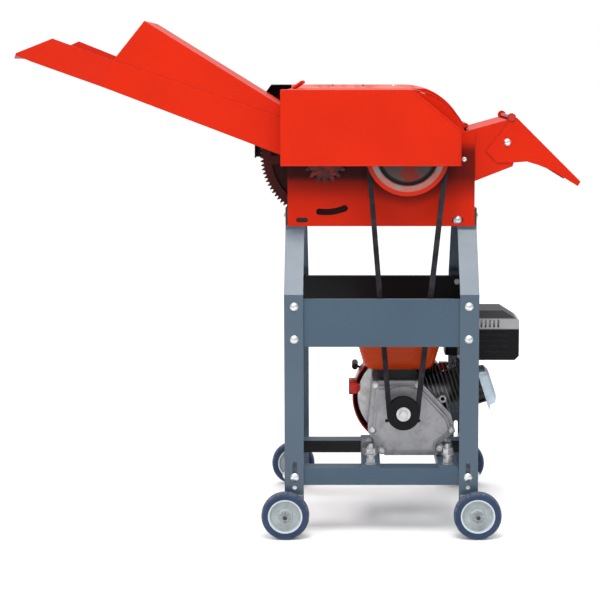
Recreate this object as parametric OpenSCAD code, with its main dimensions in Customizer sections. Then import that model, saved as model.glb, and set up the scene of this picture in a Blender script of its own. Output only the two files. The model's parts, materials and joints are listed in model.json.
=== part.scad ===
// Petrol-engine grass shredder: a feed tray, two feed rollers and a knife rotor on a wheeled frame.
// Millimetres. +X runs from the feed tray to the spout, the belt side faces -Y, +Z is up.

/* [Frame] */
// Width over the legs, side to side
frame_w = 406; // [396:1:416]
// Depth over the legs, front to back
frame_d = 400; // [392:1:420]
// Flange width of the leg and rail angles
angle_w = 40; // [38:1:42]
// Thickness of the frame steel
angle_t = 4; // [3.5:0.5:4.5]
// Height of the leg feet above the floor
foot_z = 30; // [28:1:32]
// Straight part of a leg, from foot to bend
leg_low_h = 482; // [478:1:500]
// Height over which a leg leans inwards
leg_lean_h = 128; // [120:1:140]
// Part of a leg that stands inside the body
leg_top_h = 45; // [42:1:50]
// Height of the base rails above the leg feet
rail_up = 78; // [76:1:82]
// Height of a base rail
rail_h = 36; // [34:1:38]
// Gap between the front rail's face and the rear rail's face
rail_gap = 290; // [280:1:300]
// Height of the upper panels
panel_h = 100; // [90:1:104]
// Radius of the frame bolts' shanks
bolt_r = 4; // [3:0.5:4]
// Radius of the domed bolt heads
head_r = 9; // [8:0.5:10]

/* [Wheels] */
// Wheel diameter
wheel_d = 100; // [96:1:104]
// Wheel width
wheel_w = 26; // [24:1:28]
// Axle diameter
axle_d = 12; // [11:0.5:13]
// Radial running clearance of every turning fit
fit_gap = 0.05; // [0.03:0.01:0.08]

/* [Body] */
// Width of the body between its two plates
body_in = 222; // [216:2:228]
// Thickness of the body plates
plate_t = 4; // [3.5:0.5:4.5]
// Thickness of the painted sheet parts
sheet_t = 2; // [1.5:0.5:2.5]
// Running gap between parts of different bodies
gap = 0.3; // [0.3:0.05:0.4]

/* [Rotor] */
// Distance of the rotor axis right of the frame's middle
rotor_x = 54; // [50:1:58]
// Height of the rotor axis above the body's lower edge
rotor_up = 155; // [152:1:158]
// Radius of the knife circle
rotor_r = 120; // [116:1:121]
// Gap between the knife circle and the pan
pan_gap = 6; // [5:0.5:7]
// Radius of the rotor shaft in its bearings
shaft_r = 12.5; // [11.5:0.5:13]
// Number of knives
knives = 4; // [3:1:4]
// Radius of the rotor pulley
big_pulley_r = 87; // [82:1:90]
// Radius of the engine pulley
small_pulley_r = 35; // [33:1:37]

/* [Feed] */
// Height of the lower feed axis above the body's lower edge
feed_up = 138; // [136:1:140]
// Radius over the teeth of the feed rollers
roller_r = 34; // [32:1:35]
// Teeth of the large feed gear
feed_teeth = 100; // [96:1:102]
// Teeth of the rotor pinion
pinion_teeth = 15; // [14:1:16]
// Module of the feed gears
feed_module = 3; // [2.9:0.1:3.1]
// Teeth of each roller gear
roller_teeth = 16; // [16:1:16]
// Module of the roller gears
roller_module = 5; // [5:0.1:5.2]
// Width of the gears
gear_w = 14; // [12:1:15]
// How far the upper roller can rise
float_h = 8; // [6:1:8]
// Height of the side walls of the feed tray
tray_h = 60; // [54:1:66]
// Length of the feed tray along its slope
tray_l = 595; // [560:5:620]
// Slope of the feed tray in degrees
tray_slope = 20.9; // [19:0.1:22]
// Width of the feed tray at its mouth
tray_mouth = 356; // [320:2:370]

/* [Engine] */
// Distance of the crankshaft right of the frame's middle
crank_x = 47; // [44:1:50]
// Height of the crankshaft above the engine's feet
crank_h = 106; // [104:1:108]
// Tilt of the cylinder in degrees
tilt = 18; // [16:1:20]
// Number of cylinder fins
fins = 9; // [7:1:10]
// Radius of the fan shroud
shroud_r = 108; // [100:1:112]
// Radius of the crankshaft's free end
crank_r = 10; // [9:0.5:11]

/* [Hidden] */
$fn = 64;

// Paint and metal
red = [0.90, 0.18, 0.08];
slate = [0.36, 0.43, 0.49];
black = [0.10, 0.10, 0.11];
zinc = [0.80, 0.82, 0.84];
steel = [0.55, 0.56, 0.58];
alloy = [0.66, 0.66, 0.68];
dark_red = [0.42, 0.10, 0.09];
navy = [0.22, 0.29, 0.45];
pale = [0.80, 0.84, 0.85];
tank_orange = [0.75, 0.25, 0.06];

// Heights
bend_z = foot_z + leg_low_h;
neck_z = bend_z + leg_lean_h;
leg_top_z = neck_z + leg_top_h;
body_z = neck_z + 7;
rail_z = foot_z + rail_up;
rail_top = rail_z + rail_h;
engine_z = rail_top + angle_t;
crank_z = engine_z + crank_h;
rotor_z = body_z + rotor_up;
feed_z = body_z + feed_up;
panel_z = bend_z - 10 - panel_h;

// Half widths and half depths
hw = frame_w / 2;
hd = frame_d / 2;
bi = body_in / 2;
bo = bi + plate_t;
body_x = hw - angle_t - 1;
bolt_x = hw - angle_w / 2 - 1;

// Feed axes: the lower one is set by the gear pair, the upper one by the roller gears
gear_reach = feed_module * (feed_teeth + pinion_teeth) / 2;
feed_x = rotor_x - sqrt(pow(gear_reach, 2) - pow(rotor_z - feed_z, 2));
upper_z = feed_z + roller_module * roller_teeth;
roller_shaft_r = 10;
roller_end = bi - 7;

// Rotor chamber and its lid
pan_r = rotor_r + pan_gap;
lid_r = pan_r + 5;
lid_t = 3;
lid_start = 23.8;
lid_z = rotor_z + lid_r;
hinge_r = lid_r + lid_t + 5;
lid_hinge = [rotor_x + hinge_r * cos(lid_start), rotor_z + hinge_r * sin(lid_start)];
pin_r = 3;

// Belt drive: the belt runs flush with both rims
belt_y = -160;
belt_w = 17;
belt_h = 11;
belt_narrow = 9.4;
belt_lap = 0.05;
pulley_w = 23;
belt_reach = norm([rotor_x - crank_x, rotor_z - crank_z]);
belt_lean = asin((big_pulley_r - small_pulley_r) / belt_reach);

// Gear planes
rear_gear_y = bo + 19;
front_gear_y = -bo - 37;
pressure_angle = 25;
backlash = 0.3;

// Wheels
wheel_x = hw - 2;
wheel_z = wheel_d / 2;
wheel_y = hd + 9;
axle_r = axle_d / 2;
axle_tip = wheel_y + wheel_w + 8;
tyre_h = 14;

// Spout and deflector
spout_t = 2.5;
spout_mouth = 281;
spout_pivot = [275, rotor_z + 75];
spout_bore_r = 4;

// The part's frame stands on the floor under the middle of its outline
tray_x = -body_x - 1;
tray_z = body_z + 146;
floor_up = 4;
lip_drop = 9;
tray_tip = tray_x - tray_l * cos(tray_slope) - (lip_drop - floor_up) * sin(tray_slope);
deflector_tip = spout_pivot[0] + 147;
origin_x = -(tray_tip + deflector_tip) / 2;

// Rounds a list index back to the start of the list
function wrap(i, n) = (i + n) % n;
function unit(v) = v / norm(v);

// Outline moved inwards by t; the points run anticlockwise
function inset(p, t) = [for (i = [0 : len(p) - 1])
    let (n = len(p), u = unit(p[i] - p[wrap(i - 1, n)]), v = unit(p[wrap(i + 1, n)] - p[i]),
        a = [-u[1], u[0]], b = [-v[1], v[0]])
    p[i] + t / (1 + a * b) * (a + b)];

// Angle whose involute starts at the base circle, in degrees
function involute(a) = tan(a) * 180 / PI - a;

// Half the angle of a tooth at radius r
function half_tooth(r, teeth, m) =
    let (pitch_r = m * teeth / 2, base_r = pitch_r * cos(pressure_angle))
    90 / teeth - backlash / pitch_r * 45 / PI * 2
    + involute(pressure_angle) - involute(acos(min(1, base_r / max(r, base_r))));

// Outline of a spur gear with one tooth centred on +X
function gear_outline(teeth, m, steps) =
    let (pitch_r = m * teeth / 2, root_r = pitch_r - 1.25 * m, tip_r = pitch_r + m)
    [for (k = [0 : teeth - 1], side = [-1, 1], s = [0 : steps])
        let (f = side < 0 ? s / steps : 1 - s / steps, r = root_r + f * (tip_r - root_r),
            a = k * 360 / teeth + side * half_tooth(r, teeth, m))
        r * [cos(a), sin(a)]];

// Moves the model from the frame's middle to the part's own origin
module placed() {
    translate([origin_x, 0, 0]) children();
}

// Extrudes a side-view outline (x, z) from y0 to y1
module along_y(y0, y1) {
    translate([0, y1, 0]) rotate([90, 0, 0]) linear_extrude(y1 - y0) children();
}

// Extrudes an end-view outline (y, z) from x0 to x1
module along_x(x0, x1) {
    translate([x0, 0, 0]) rotate([90, 0, 90]) linear_extrude(x1 - x0) children();
}

// Round bar along Y
module bar_y(x, z, y0, y1, r) {
    translate([x, y0, z]) rotate([-90, 0, 0]) cylinder(r = r, h = y1 - y0);
}

// Block between two corners
module block(a, b) {
    translate(a) cube(b - a);
}

// Spins a profile (radius, y) about an axis along Y
module spun_y(x, z) {
    translate([x, 0, z]) rotate([-90, 0, 0]) rotate_extrude() children();
}

// Domed head on top of z = 0
module dome(r, h) {
    ball_r = (r * r + h * h) / (2 * h);
    intersection() {
        translate([0, 0, h - ball_r]) sphere(ball_r);
        cylinder(r = r + 1, h = h);
    }
}

// Domed bolt through a stack of the given thickness, with its nut; the head points along +Z
module dome_bolt(stack) {
    dome(head_r, 0.55 * head_r);
    translate([0, 0, -stack - 8]) cylinder(r = bolt_r, h = stack + 8.5);
    translate([0, 0, -stack - 6.5]) cylinder(r = 1.75 * bolt_r, h = 6.5, $fn = 6);
}

// Hexagon bolt standing on z = 0, with a plain shank below
module hex_bolt(r, shank) {
    cylinder(r = 1.9 * r, h = 1.2);
    cylinder(r = 1.7 * r, h = 1.2 + 1.2 * r, $fn = 6);
    translate([0, 0, -shank]) cylinder(r = r, h = shank + 1);
}

// Leg outline seen from the end: a band of width w inside the outer bent line
module leg_band(w) {
    lean = atan2(hd - bi, leg_lean_h);
    drop = w * tan(lean / 2);
    polygon([[hd, foot_z], [hd, bend_z], [bi, neck_z], [bi, leg_top_z],
        [bi - w, leg_top_z], [bi - w, neck_z - drop], [hd - w, bend_z - drop], [hd - w, foot_z]]);
}

bolt_rows = [panel_z + 16, panel_z + panel_h - 15];
low_bolt_z = rail_z + 17;
slot_z = low_bolt_z - 5;
slot_l = 33;
spare_z = foot_z + 73;
body_bolt_z = body_z + 13;
side_bolt_y = bi - 20;
side_bolt_z = body_z + 19;

// One bent angle leg, drawn for the right rear corner
module leg() {
    difference() {
        union() {
            along_x(hw - angle_t, hw) leg_band(angle_w);
            along_x(hw - angle_w, hw) leg_band(angle_t);
        }
        for (z = concat(bolt_rows, [spare_z]))
            bar_y(bolt_x, z, hd - 10, hd + 1, bolt_r + 0.5);
        for (z = [slot_z, slot_z + slot_l])
            bar_y(bolt_x, z, hd - 10, hd + 1, bolt_r + 0.5);
        block([bolt_x - bolt_r - 0.5, hd - 10, slot_z], [bolt_x + bolt_r + 0.5, hd + 1, slot_z + slot_l]);
        bar_y(bolt_x - 20, body_bolt_z, bi - 10, bi + 1, bolt_r + 0.5);
        translate([hw - 10, side_bolt_y, side_bolt_z]) rotate([0, 90, 0])
            cylinder(r = bolt_r + 0.5, h = 20);
        translate([hw - 10, hd - angle_w / 2, low_bolt_z]) rotate([0, 90, 0])
            cylinder(r = bolt_r + 0.5, h = 20);
    }
}

module leg_front_left() {
    color(slate) placed() mirror([1, 0, 0]) mirror([0, 1, 0]) leg();
}

module leg_front_right() {
    color(slate) placed() mirror([0, 1, 0]) leg();
}

module leg_rear_left() {
    color(slate) placed() mirror([1, 0, 0]) leg();
}

module leg_rear_right() {
    color(slate) placed() leg();
}

// Front and rear sheets between the legs, behind the leg flanges, with a folded upper and lower edge
module upper_panels() {
    y1 = hd - angle_t;
    inside = hw - angle_t;
    color(slate) placed() for (s = [0, 1]) mirror([0, s, 0]) difference() {
        union() {
            block([-inside, y1 - sheet_t, panel_z], [inside, y1, panel_z + panel_h]);
            for (z = [panel_z, panel_z + panel_h - sheet_t])
                block([-inside, y1 - 14, z], [inside, y1, z + sheet_t]);
        }
        for (x = [-bolt_x, bolt_x], z = bolt_rows)
            bar_y(x, z, y1 - 10, y1 + 1, bolt_r + 0.5);
        for (x = [-inside - 1, inside - 14])
            for (z = [panel_z - 1, panel_z + panel_h - sheet_t - 1])
                block([x, y1 - 20, z], [x + 15, y1 - sheet_t, z + sheet_t + 2]);
    }
}

// Angle rail along X: upright flange at y = 0, level flange on top, running to +Y
module rail_x(x0, x1) {
    block([x0, 0, rail_z], [x1, angle_t, rail_top]);
    block([x0, 0, rail_top - angle_t], [x1, angle_w, rail_top]);
}

engine_feet_x = [crank_x - 69, crank_x + 93];
engine_feet_y = [-92, -16.5];
rear_rail_y = -hd + rail_gap;
rail_end = hw - angle_t;

// Two side rails, the front and rear rails, two engine rails on them and the bars under the body
module frame_rails() {
    color(slate) placed() {
        difference() {
            translate([0, -hd + angle_t, 0]) rail_x(-rail_end, rail_end);
            for (x = [-bolt_x, bolt_x])
                bar_y(x, low_bolt_z, -hd, -hd + 10, bolt_r + 0.5);
        }
        translate([0, rear_rail_y, 0]) mirror([0, 1, 0]) rail_x(-rail_end, rail_end);
        for (s = [0, 1]) mirror([s, 0, 0]) difference() {
            block([rail_end - angle_t, -hd + 2 * angle_t, rail_z],
                [rail_end, hd - angle_t, rail_top - angle_t]);
            for (y = [-hd + angle_w / 2, hd - angle_w / 2])
                translate([rail_end - 8, y, low_bolt_z]) rotate([0, 90, 0])
                    cylinder(r = bolt_r + 0.5, h = 12);
        }
        for (x = engine_feet_x) difference() {
            union() {
                block([x - 20, -hd + angle_t, rail_top], [x + 20, rear_rail_y, engine_z]);
                for (side = [x - 20, x + 20 - angle_t])
                    block([side, -hd + angle_t + angle_w + 1, rail_top - 18],
                        [side + angle_t, rear_rail_y - angle_w - 1, engine_z]);
            }
            for (y = engine_feet_y)
                translate([x, y, rail_top - 1]) cylinder(r = bolt_r + 0.5, h = angle_t + 2);
        }
        for (s = [0, 1]) mirror([s, 0, 0]) difference() {
            block([rail_end - angle_t, -bi + angle_t, neck_z + 12], [rail_end, bi - angle_t, leg_top_z]);
            for (y = [-side_bolt_y, side_bolt_y])
                translate([rail_end - 8, y, side_bolt_z]) rotate([0, 90, 0])
                    cylinder(r = bolt_r + 0.5, h = 12);
        }
    }
}

// Every domed bolt of the frame and the body, each with its nut, and the lid's hinge pin
module frame_bolts() {
    color(zinc) placed() for (s = [0, 1]) mirror([0, s, 0]) {
        for (x = [-bolt_x, bolt_x], z = bolt_rows)
            translate([x, -hd, z]) rotate([90, 0, 0]) dome_bolt(angle_t + sheet_t);
        for (x = [-hw, hw])
            translate([x, -hd + angle_w / 2, low_bolt_z]) rotate([0, sign(x) * 90, 0])
                dome_bolt(2 * angle_t);
        for (x = [-hw, hw])
            translate([x, -side_bolt_y, side_bolt_z]) rotate([0, sign(x) * 90, 0])
                dome_bolt(2 * angle_t);
        translate([bolt_x - 20, -bo, body_bolt_z]) rotate([90, 0, 0]) dome_bolt(plate_t + angle_t);
    }
    color(zinc) placed() for (x = [-bolt_x, bolt_x])
        translate([x, -hd, low_bolt_z]) rotate([90, 0, 0]) dome_bolt(2 * angle_t);
    color(zinc) placed() bar_y(lid_hinge[0], lid_hinge[1], -75, 75, pin_r);
}

// Four plates on the leg feet, each with its stub axle, washer and split pin
module axles() {
    pin_y = axle_tip - 3.5;
    color(zinc) placed() for (sx = [0, 1], sy = [0, 1]) mirror([sx, 0, 0]) mirror([0, sy, 0]) {
        difference() {
            union() {
                block([wheel_x - 36, hd, foot_z - 2], [wheel_x + 19, hd + 5, wheel_z + 38]);
                bar_y(wheel_x, wheel_z, hd + 4, axle_tip, axle_r);
                bar_y(wheel_x, wheel_z, hd + 4, wheel_y - gap, axle_r + 4);
            }
            translate([wheel_x, pin_y, wheel_z - 20]) cylinder(r = 1.4, h = 40);
        }
        translate([wheel_x, pin_y, wheel_z - 12]) cylinder(r = 1.3, h = 22);
        difference() {
            bar_y(wheel_x, wheel_z, wheel_y + wheel_w + gap, wheel_y + wheel_w + gap + 2, axle_r + 7);
            bar_y(wheel_x, wheel_z, wheel_y, axle_tip, axle_r + 0.2);
        }
    }
}

// Rubber tyre with a crowned tread, drawn at the right rear corner
module tyre() {
    r = wheel_d / 2;
    w = wheel_w;
    spun_y(wheel_x, wheel_z) translate([0, wheel_y])
        polygon([[r - tyre_h, 1.5], [r - 6, 0], [r - 1.5, 3], [r, 8], [r, w - 8],
            [r - 1.5, w - 3], [r - 6, w], [r - tyre_h, w - 1.5]]);
}

// Dished plastic hub with its rim and boss
module hub() {
    rim = wheel_d / 2 - tyre_h;
    bore = axle_r + fit_gap;
    w = wheel_w;
    spun_y(wheel_x, wheel_z) translate([0, wheel_y])
        polygon([[bore, 0], [bore + 5, 0], [bore + 9, 9], [rim - 5, 10], [rim - 3, 2],
            [rim - gap / 3, 2], [rim - gap / 3, w - 2], [rim - 3, w - 2], [rim - 5, 16],
            [bore + 10, 15], [bore + 8, w], [bore, w]]);
}

// Puts a wheel piece at a corner: s[0] is 1 on the left, s[1] is 1 at the front
module at_corner(s) {
    placed() mirror([s[0], 0, 0]) mirror([0, s[1], 0]) children();
}

module tyre_front_left() { color(navy) at_corner([1, 1]) tyre(); }
module tyre_front_right() { color(navy) at_corner([0, 1]) tyre(); }
module tyre_rear_left() { color(navy) at_corner([1, 0]) tyre(); }
module tyre_rear_right() { color(navy) at_corner([0, 0]) tyre(); }
module hub_front_left() { color(pale) at_corner([1, 1]) hub(); }
module hub_front_right() { color(pale) at_corner([0, 1]) hub(); }
module hub_rear_left() { color(pale) at_corner([1, 0]) hub(); }
module hub_rear_right() { color(pale) at_corner([0, 0]) hub(); }

// Ring sector about the origin, from angle a0 to a1
module ring_sector(r0, r1, a0, a1) {
    far = 2 * r1;
    mid = (a0 + a1) / 2;
    intersection() {
        difference() {
            circle(r1);
            circle(r0);
        }
        polygon([[0, 0], far * [cos(a0), sin(a0)], far * [cos(mid), sin(mid)], far * [cos(a1), sin(a1)]]);
    }
}

// Rectangle with round corners, centred
module rounded_rect(w, h, r) {
    square([w - 2 * r, h], center = true);
    square([w, h - 2 * r], center = true);
    for (x = [-w / 2 + r, w / 2 - r], y = [-h / 2 + r, h / 2 - r])
        translate([x, y]) circle(r);
}

// Slot along X between two hole centres
module slot_x(x0, x1, r) {
    translate([x0, -r]) square([x1 - x0, 2 * r]);
    for (x = [x0, x1])
        translate([x, 0]) circle(r);
}

float_w = 40;
float_half = 17;
spring_gap_h = 42;
spring_top = upper_z + float_half + spring_gap_h;
shelf_out = 16;
spout_top_z = body_z + 201;
bearing_w = 16;
bearing_bolt = 32;

// Side-view outline of a body plate with all its holes
module plate_outline() {
    slot_r = 5;
    difference() {
        union() {
            translate([-body_x, body_z]) square([2 * body_x, spout_top_z - body_z]);
            translate([-body_x, body_z]) square([body_x + rotor_x, lid_z - gap - body_z]);
            translate([rotor_x, rotor_z]) circle(lid_r - 2 * gap);
        }
        translate([rotor_x, rotor_z]) {
            circle(shaft_r + 12);
            for (x = [-bearing_bolt, bearing_bolt], z = [-bearing_bolt, bearing_bolt])
                translate([x, z]) circle(bolt_r + 0.5);
        }
        translate([feed_x, feed_z]) {
            circle(roller_shaft_r + 4);
            for (x = [-22, 22])
                translate([x, 0]) circle(bolt_r + 0.5);
            arc_r = 108;
            ring_sector(arc_r - 6.7, arc_r + 6.7, 263, 292);
            for (a = [263, 292])
                translate(arc_r * [cos(a), sin(a)]) circle(7);
        }
        translate([feed_x - float_w / 2 - gap, upper_z - float_half - gap])
            square([float_w + 2 * gap, 2 * float_half + float_h + 2 * gap]);
        translate([0, body_bolt_z]) {
            slot_x(-bolt_x + 7, -bolt_x + 22, slot_r);
            slot_x(bolt_x - 27.5, bolt_x - 12.5, slot_r);
        }
    }
}

// Body plate with the shelf that the pressure spring pushes against, drawn for the rear
module body_plate() {
    along_y(bi, bo) plate_outline();
    block([feed_x - 14, bo - 1, spring_top], [feed_x + 14, bo + shelf_out, spring_top + plate_t]);
}

module body_plate_front() {
    color(red) placed() mirror([0, 1, 0]) body_plate();
}

module body_plate_rear() {
    color(red) placed() body_plate();
}

pan_start = 186;
pan_end = 325;
spout_start = [rotor_x, rotor_z] + (pan_r + 3.5) * [cos(pan_end), sin(pan_end)];

// Curved pan under the rotor
module belly_pan() {
    color(red) placed() along_y(-bi, bi) translate([rotor_x, rotor_z])
        ring_sector(pan_r, pan_r + 3, pan_start, pan_end);
}

throat_edge = [feed_x, feed_z] + (roller_r + 1.5) * [cos(132), sin(132)];

// Plate that leads the grass from the tray to the rollers
module throat_plate() {
    x0 = -body_x - gap;
    z0 = tray_z + 3;
    x1 = throat_edge[0] - 10;
    color(steel) placed() along_y(-bi, bi)
        polygon([[x0, z0], [x1, throat_edge[1]], throat_edge,
            throat_edge + [0, sheet_t], [x1, throat_edge[1] + sheet_t], [x0, z0 + sheet_t]]);
}

// Fixed knife with its bar, beside the knife circle
module bed_knife() {
    x1 = rotor_x - rotor_r - 1.5;
    z1 = rotor_z + 10;
    color(steel) placed() along_y(-bi, bi)
        polygon([[x1 - 14, z1 - 22], [x1 - 1, z1 - 22], [x1 - 1, z1 - 6], [x1, z1], [x1 - 14, z1]]);
}

// Flange bearing on the outside of the rear plate
module flange_bearing(x, z, w, h, boss, bore, bolts) {
    difference() {
        union() {
            along_y(bo, bo + 9) translate([x, z]) rounded_rect(w, h, 10);
            bar_y(x, z, bo, bo + bearing_w, boss);
        }
        bar_y(x, z, bo - 1, bo + bearing_w + 1, bore);
        for (b = bolts)
            bar_y(x + b[0], z + b[1], bo - 1, bo + bearing_w, bolt_r + 0.1);
    }
    for (b = bolts)
        translate([x + b[0], bo + 9, z + b[1]]) rotate([-90, 0, 0]) hex_bolt(bolt_r, 9 + plate_t);
}

// Rotor bearings and roller bearings, two of each
module bearings() {
    q = bearing_bolt;
    color(slate) placed() for (s = [0, 1]) mirror([0, s, 0]) {
        flange_bearing(rotor_x, rotor_z, 84, 84, shaft_r + 15, shaft_r + fit_gap,
            [[-q, -q], [-q, q], [q, -q], [q, q]]);
        flange_bearing(feed_x, feed_z, 62, 38, roller_shaft_r + 7, roller_shaft_r + fit_gap,
            [[-22, 0], [22, 0]]);
    }
}

guard_out = 80;
guard_left = -body_x - 11;
guard_right = rotor_x + 110;
guard_low = feed_z - 6;
guard_top = lid_z + lid_t;

// Side-view outline of the belt guard, with its lower edge at z0
function guard_outline(z0) = [[guard_left, z0], [guard_right, z0],
    [guard_right, guard_low + 75], [guard_right - 101, guard_top], [guard_left, guard_top]];

// Red box over the upper pulley, open below and towards the body
module belt_guard() {
    y0 = -bo - guard_out;
    y1 = -bo - gap;
    color(red) placed() difference() {
        along_y(y0, y1) polygon(guard_outline(guard_low));
        along_y(y0 + sheet_t, y1 + 1) polygon(inset(guard_outline(guard_low - 50), sheet_t));
    }
}

rear_guard_out = 52;
rear_guard_low = feed_z - 6;
gear_room = feed_module * feed_teeth / 2 + 14;
rear_guard_top = feed_z + gear_room - 5;

// Side-view outline of the gear guard, with its lower edge at z0
function rear_outline(z0) =
    let (left = feed_x - gear_room, right = rotor_x + 46, top = rear_guard_top)
    [[left, z0], [right, z0], [right, top - 94], [right - 85, top], [left + 38, top],
        [left + 27, top - 15], [left, top - 138]];

// Black cover over the gears behind the body, open below and towards the body
module gear_guard() {
    y0 = bo + gap;
    y1 = bo + rear_guard_out;
    color(black) placed() difference() {
        along_y(y0, y1) polygon(rear_outline(rear_guard_low));
        along_y(y0 - 1, y1 - sheet_t) polygon(inset(rear_outline(rear_guard_low - 50), sheet_t));
    }
}

// Works in the sloping frame of the feed tray: X along the tray, Z square to its floor
module on_tray() {
    translate([tray_x, 0, tray_z]) rotate([0, tray_slope, 0]) children();
}

// Where the upright end of the tray lies at height z above its floor
function tray_end(z) = -z * tan(tray_slope);

flare_x = -tray_l + 182;
mouth_half = tray_mouth / 2;
flare = atan2(mouth_half - bo, flare_x + tray_l);
flare_l = norm([mouth_half - bo, flare_x + tray_l]);
wall_rise = 14;

// Feed tray: floor, two side walls that flare towards the mouth, and a folded lip
module feed_tray() {
    floor_end = tray_end(floor_up + sheet_t) - 1;
    color(red) placed() on_tray() {
        translate([0, 0, floor_up]) linear_extrude(sheet_t)
            polygon([[floor_end, -bo + 1], [floor_end, bo - 1],
                [flare_x, bo - 1], [-tray_l, mouth_half - 1], [-tray_l, -mouth_half + 1],
                [flare_x, -bo + 1]]);
        block([-tray_l, -mouth_half + 1, floor_up - lip_drop], [-tray_l + sheet_t, mouth_half - 1, floor_up + 1]);
        for (s = [0, 1]) mirror([0, s, 0]) {
            along_y(bo - sheet_t, bo)
                polygon([[0, 0], [tray_end(tray_h + wall_rise), tray_h + wall_rise],
                    [flare_x, tray_h], [flare_x, 0]]);
            translate([flare_x, bo, 0]) rotate([0, 0, -flare]) along_y(-sheet_t, 0)
                polygon([[1, 0], [1, tray_h], [-flare_l * 0.69, tray_h], [-flare_l, floor_up + sheet_t],
                    [-flare_l, floor_up - 2], [-flare_l * 0.82, 0]]);
        }
    }
}

hood_h = 161;
hood_end_h = 94.5;
hood_start = flare_x + 33;

// Hood over the inner part of the feed tray: two cheeks inside the tray walls and a top
module feed_hood() {
    lap = 10;
    cheek = bo - sheet_t;
    end_h = tray_h + wall_rise - lap;
    top = [[hood_start, hood_h], [hood_start, hood_h - sheet_t],
        [tray_end(hood_end_h - sheet_t), hood_end_h - sheet_t], [tray_end(hood_end_h), hood_end_h]];
    color(red) placed() on_tray() {
        along_y(-cheek, cheek) polygon(top);
        for (s = [0, 1]) mirror([0, s, 0]) along_y(cheek - sheet_t, cheek)
            polygon([[flare_x, tray_h - lap], [tray_end(end_h), end_h],
                [tray_end(hood_end_h), hood_end_h], [hood_start, hood_h], [flare_x, tray_h]]);
    }
}

spout_low = [spout_mouth - 3, rotor_z - 28];
spout_lip = [spout_mouth, rotor_z - 18];
spout_top_end = spout_pivot + [-9, -5];
spout_root = [rotor_x + 126, spout_top_z];
cheek_bolt_at = [spout_pivot[0] - 9, spout_pivot[1] - 52];
cheek_bolt_r = 5;
knuckle_r = 6;
knuckle_half = 28;

// Band of thickness t below the line from a to b
function band(a, b, t) =
    let (u = unit(b - a), n = [u[1], -u[0]])
    [a, a + t * n, b + t * n, b];

// Discharge spout: floor, top, two cheeks with ears for the deflector pin, and the lid's knuckle
module spout() {
    color(red) placed() {
        difference() {
            union() {
                for (s = [0, 1]) mirror([0, s, 0]) along_y(bi - spout_t, bi) {
                    polygon([spout_start, spout_low, spout_lip, spout_pivot + [2, -4],
                        spout_top_end, spout_root]);
                    translate(spout_pivot) circle(9);
                }
                along_y(-bi, bi) polygon(band(spout_start + [0, spout_t], spout_low + [0, spout_t], spout_t));
                along_y(-bi, bi) polygon(band(spout_root, spout_top_end, spout_t));
            }
            bar_y(spout_pivot[0], spout_pivot[1], -bo, bo, spout_bore_r + fit_gap);
        }
        difference() {
            along_y(-knuckle_half, knuckle_half) {
                translate(lid_hinge) circle(knuckle_r);
                translate([lid_hinge[0] - 1, spout_root[1] - 1]) square([5, lid_hinge[1] - spout_root[1]]);
            }
            bar_y(lid_hinge[0], lid_hinge[1], -bo, bo, pin_r + fit_gap);
        }
    }
}

// Hinged deflector at the spout's mouth: a sloping top and two cheeks outside the spout
module deflector() {
    p = spout_pivot;
    y0 = bi + gap;
    tip = p + [147, -135.5];
    cheek = [p + [-54, -71], p + [-30, -95], p + [7, -95], p + [33, -93], p + [59, -101],
        p + [92, -114.5], p + [118, -131], tip + [-6, -9.5], tip, p + [8, 1], p + [0, 9],
        p + [-13, -20]];
    color(red) placed() difference() {
        union() {
            for (s = [0, 1]) mirror([0, s, 0]) along_y(y0, y0 + spout_t) {
                polygon(cheek);
                translate(p) circle(9);
            }
            along_y(-y0 - spout_t, y0 + spout_t) polygon(band(p + [11.4, -0.9], tip, spout_t));
        }
        bar_y(p[0], p[1], -bo - 1, bo + 1, spout_bore_r + fit_gap);
        bar_y(cheek_bolt_at[0], cheek_bolt_at[1], -bo - 1, bo + 1, cheek_bolt_r + fit_gap);
    }
}

// Headed pin that the deflector swings on, and a domed bolt in each of its cheeks
module deflector_pins() {
    y1 = bi + 2 * gap + spout_t;
    color(zinc) placed() {
        bar_y(spout_pivot[0], spout_pivot[1], -y1, y1, spout_bore_r);
        for (y = [-y1 - 3, y1])
            bar_y(spout_pivot[0], spout_pivot[1], y, y + 3, spout_bore_r + 3);
        for (s = [0, 1]) mirror([0, s, 0])
            translate([cheek_bolt_at[0], bi + gap, cheek_bolt_at[1]]) rotate([-90, 0, 0]) {
                cylinder(r = cheek_bolt_r, h = spout_t + 0.5);
                translate([0, 0, spout_t]) dome(cheek_bolt_r + 3, 4.5);
            }
    }
}

handle_x = -body_x + 9;
handle_up = 14;
handle_lean = 20;
handle_half = 45;
edge_h = 8.5;

// Upstanding rear edge of the lid, with three notches
module lid_edge() {
    along_y(bo - lid_t, bo) difference() {
        union() {
            translate([-body_x, lid_z + 1]) square([rotor_x + body_x, lid_t + edge_h - 1]);
            translate([rotor_x, rotor_z]) ring_sector(lid_r + 1, lid_r + lid_t + edge_h, lid_start + 10, 90);
        }
        for (i = [0 : 2])
            translate([-body_x + 91 + i * 68, guard_top + edge_h - 3]) square([4, 4]);
    }
}

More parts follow.
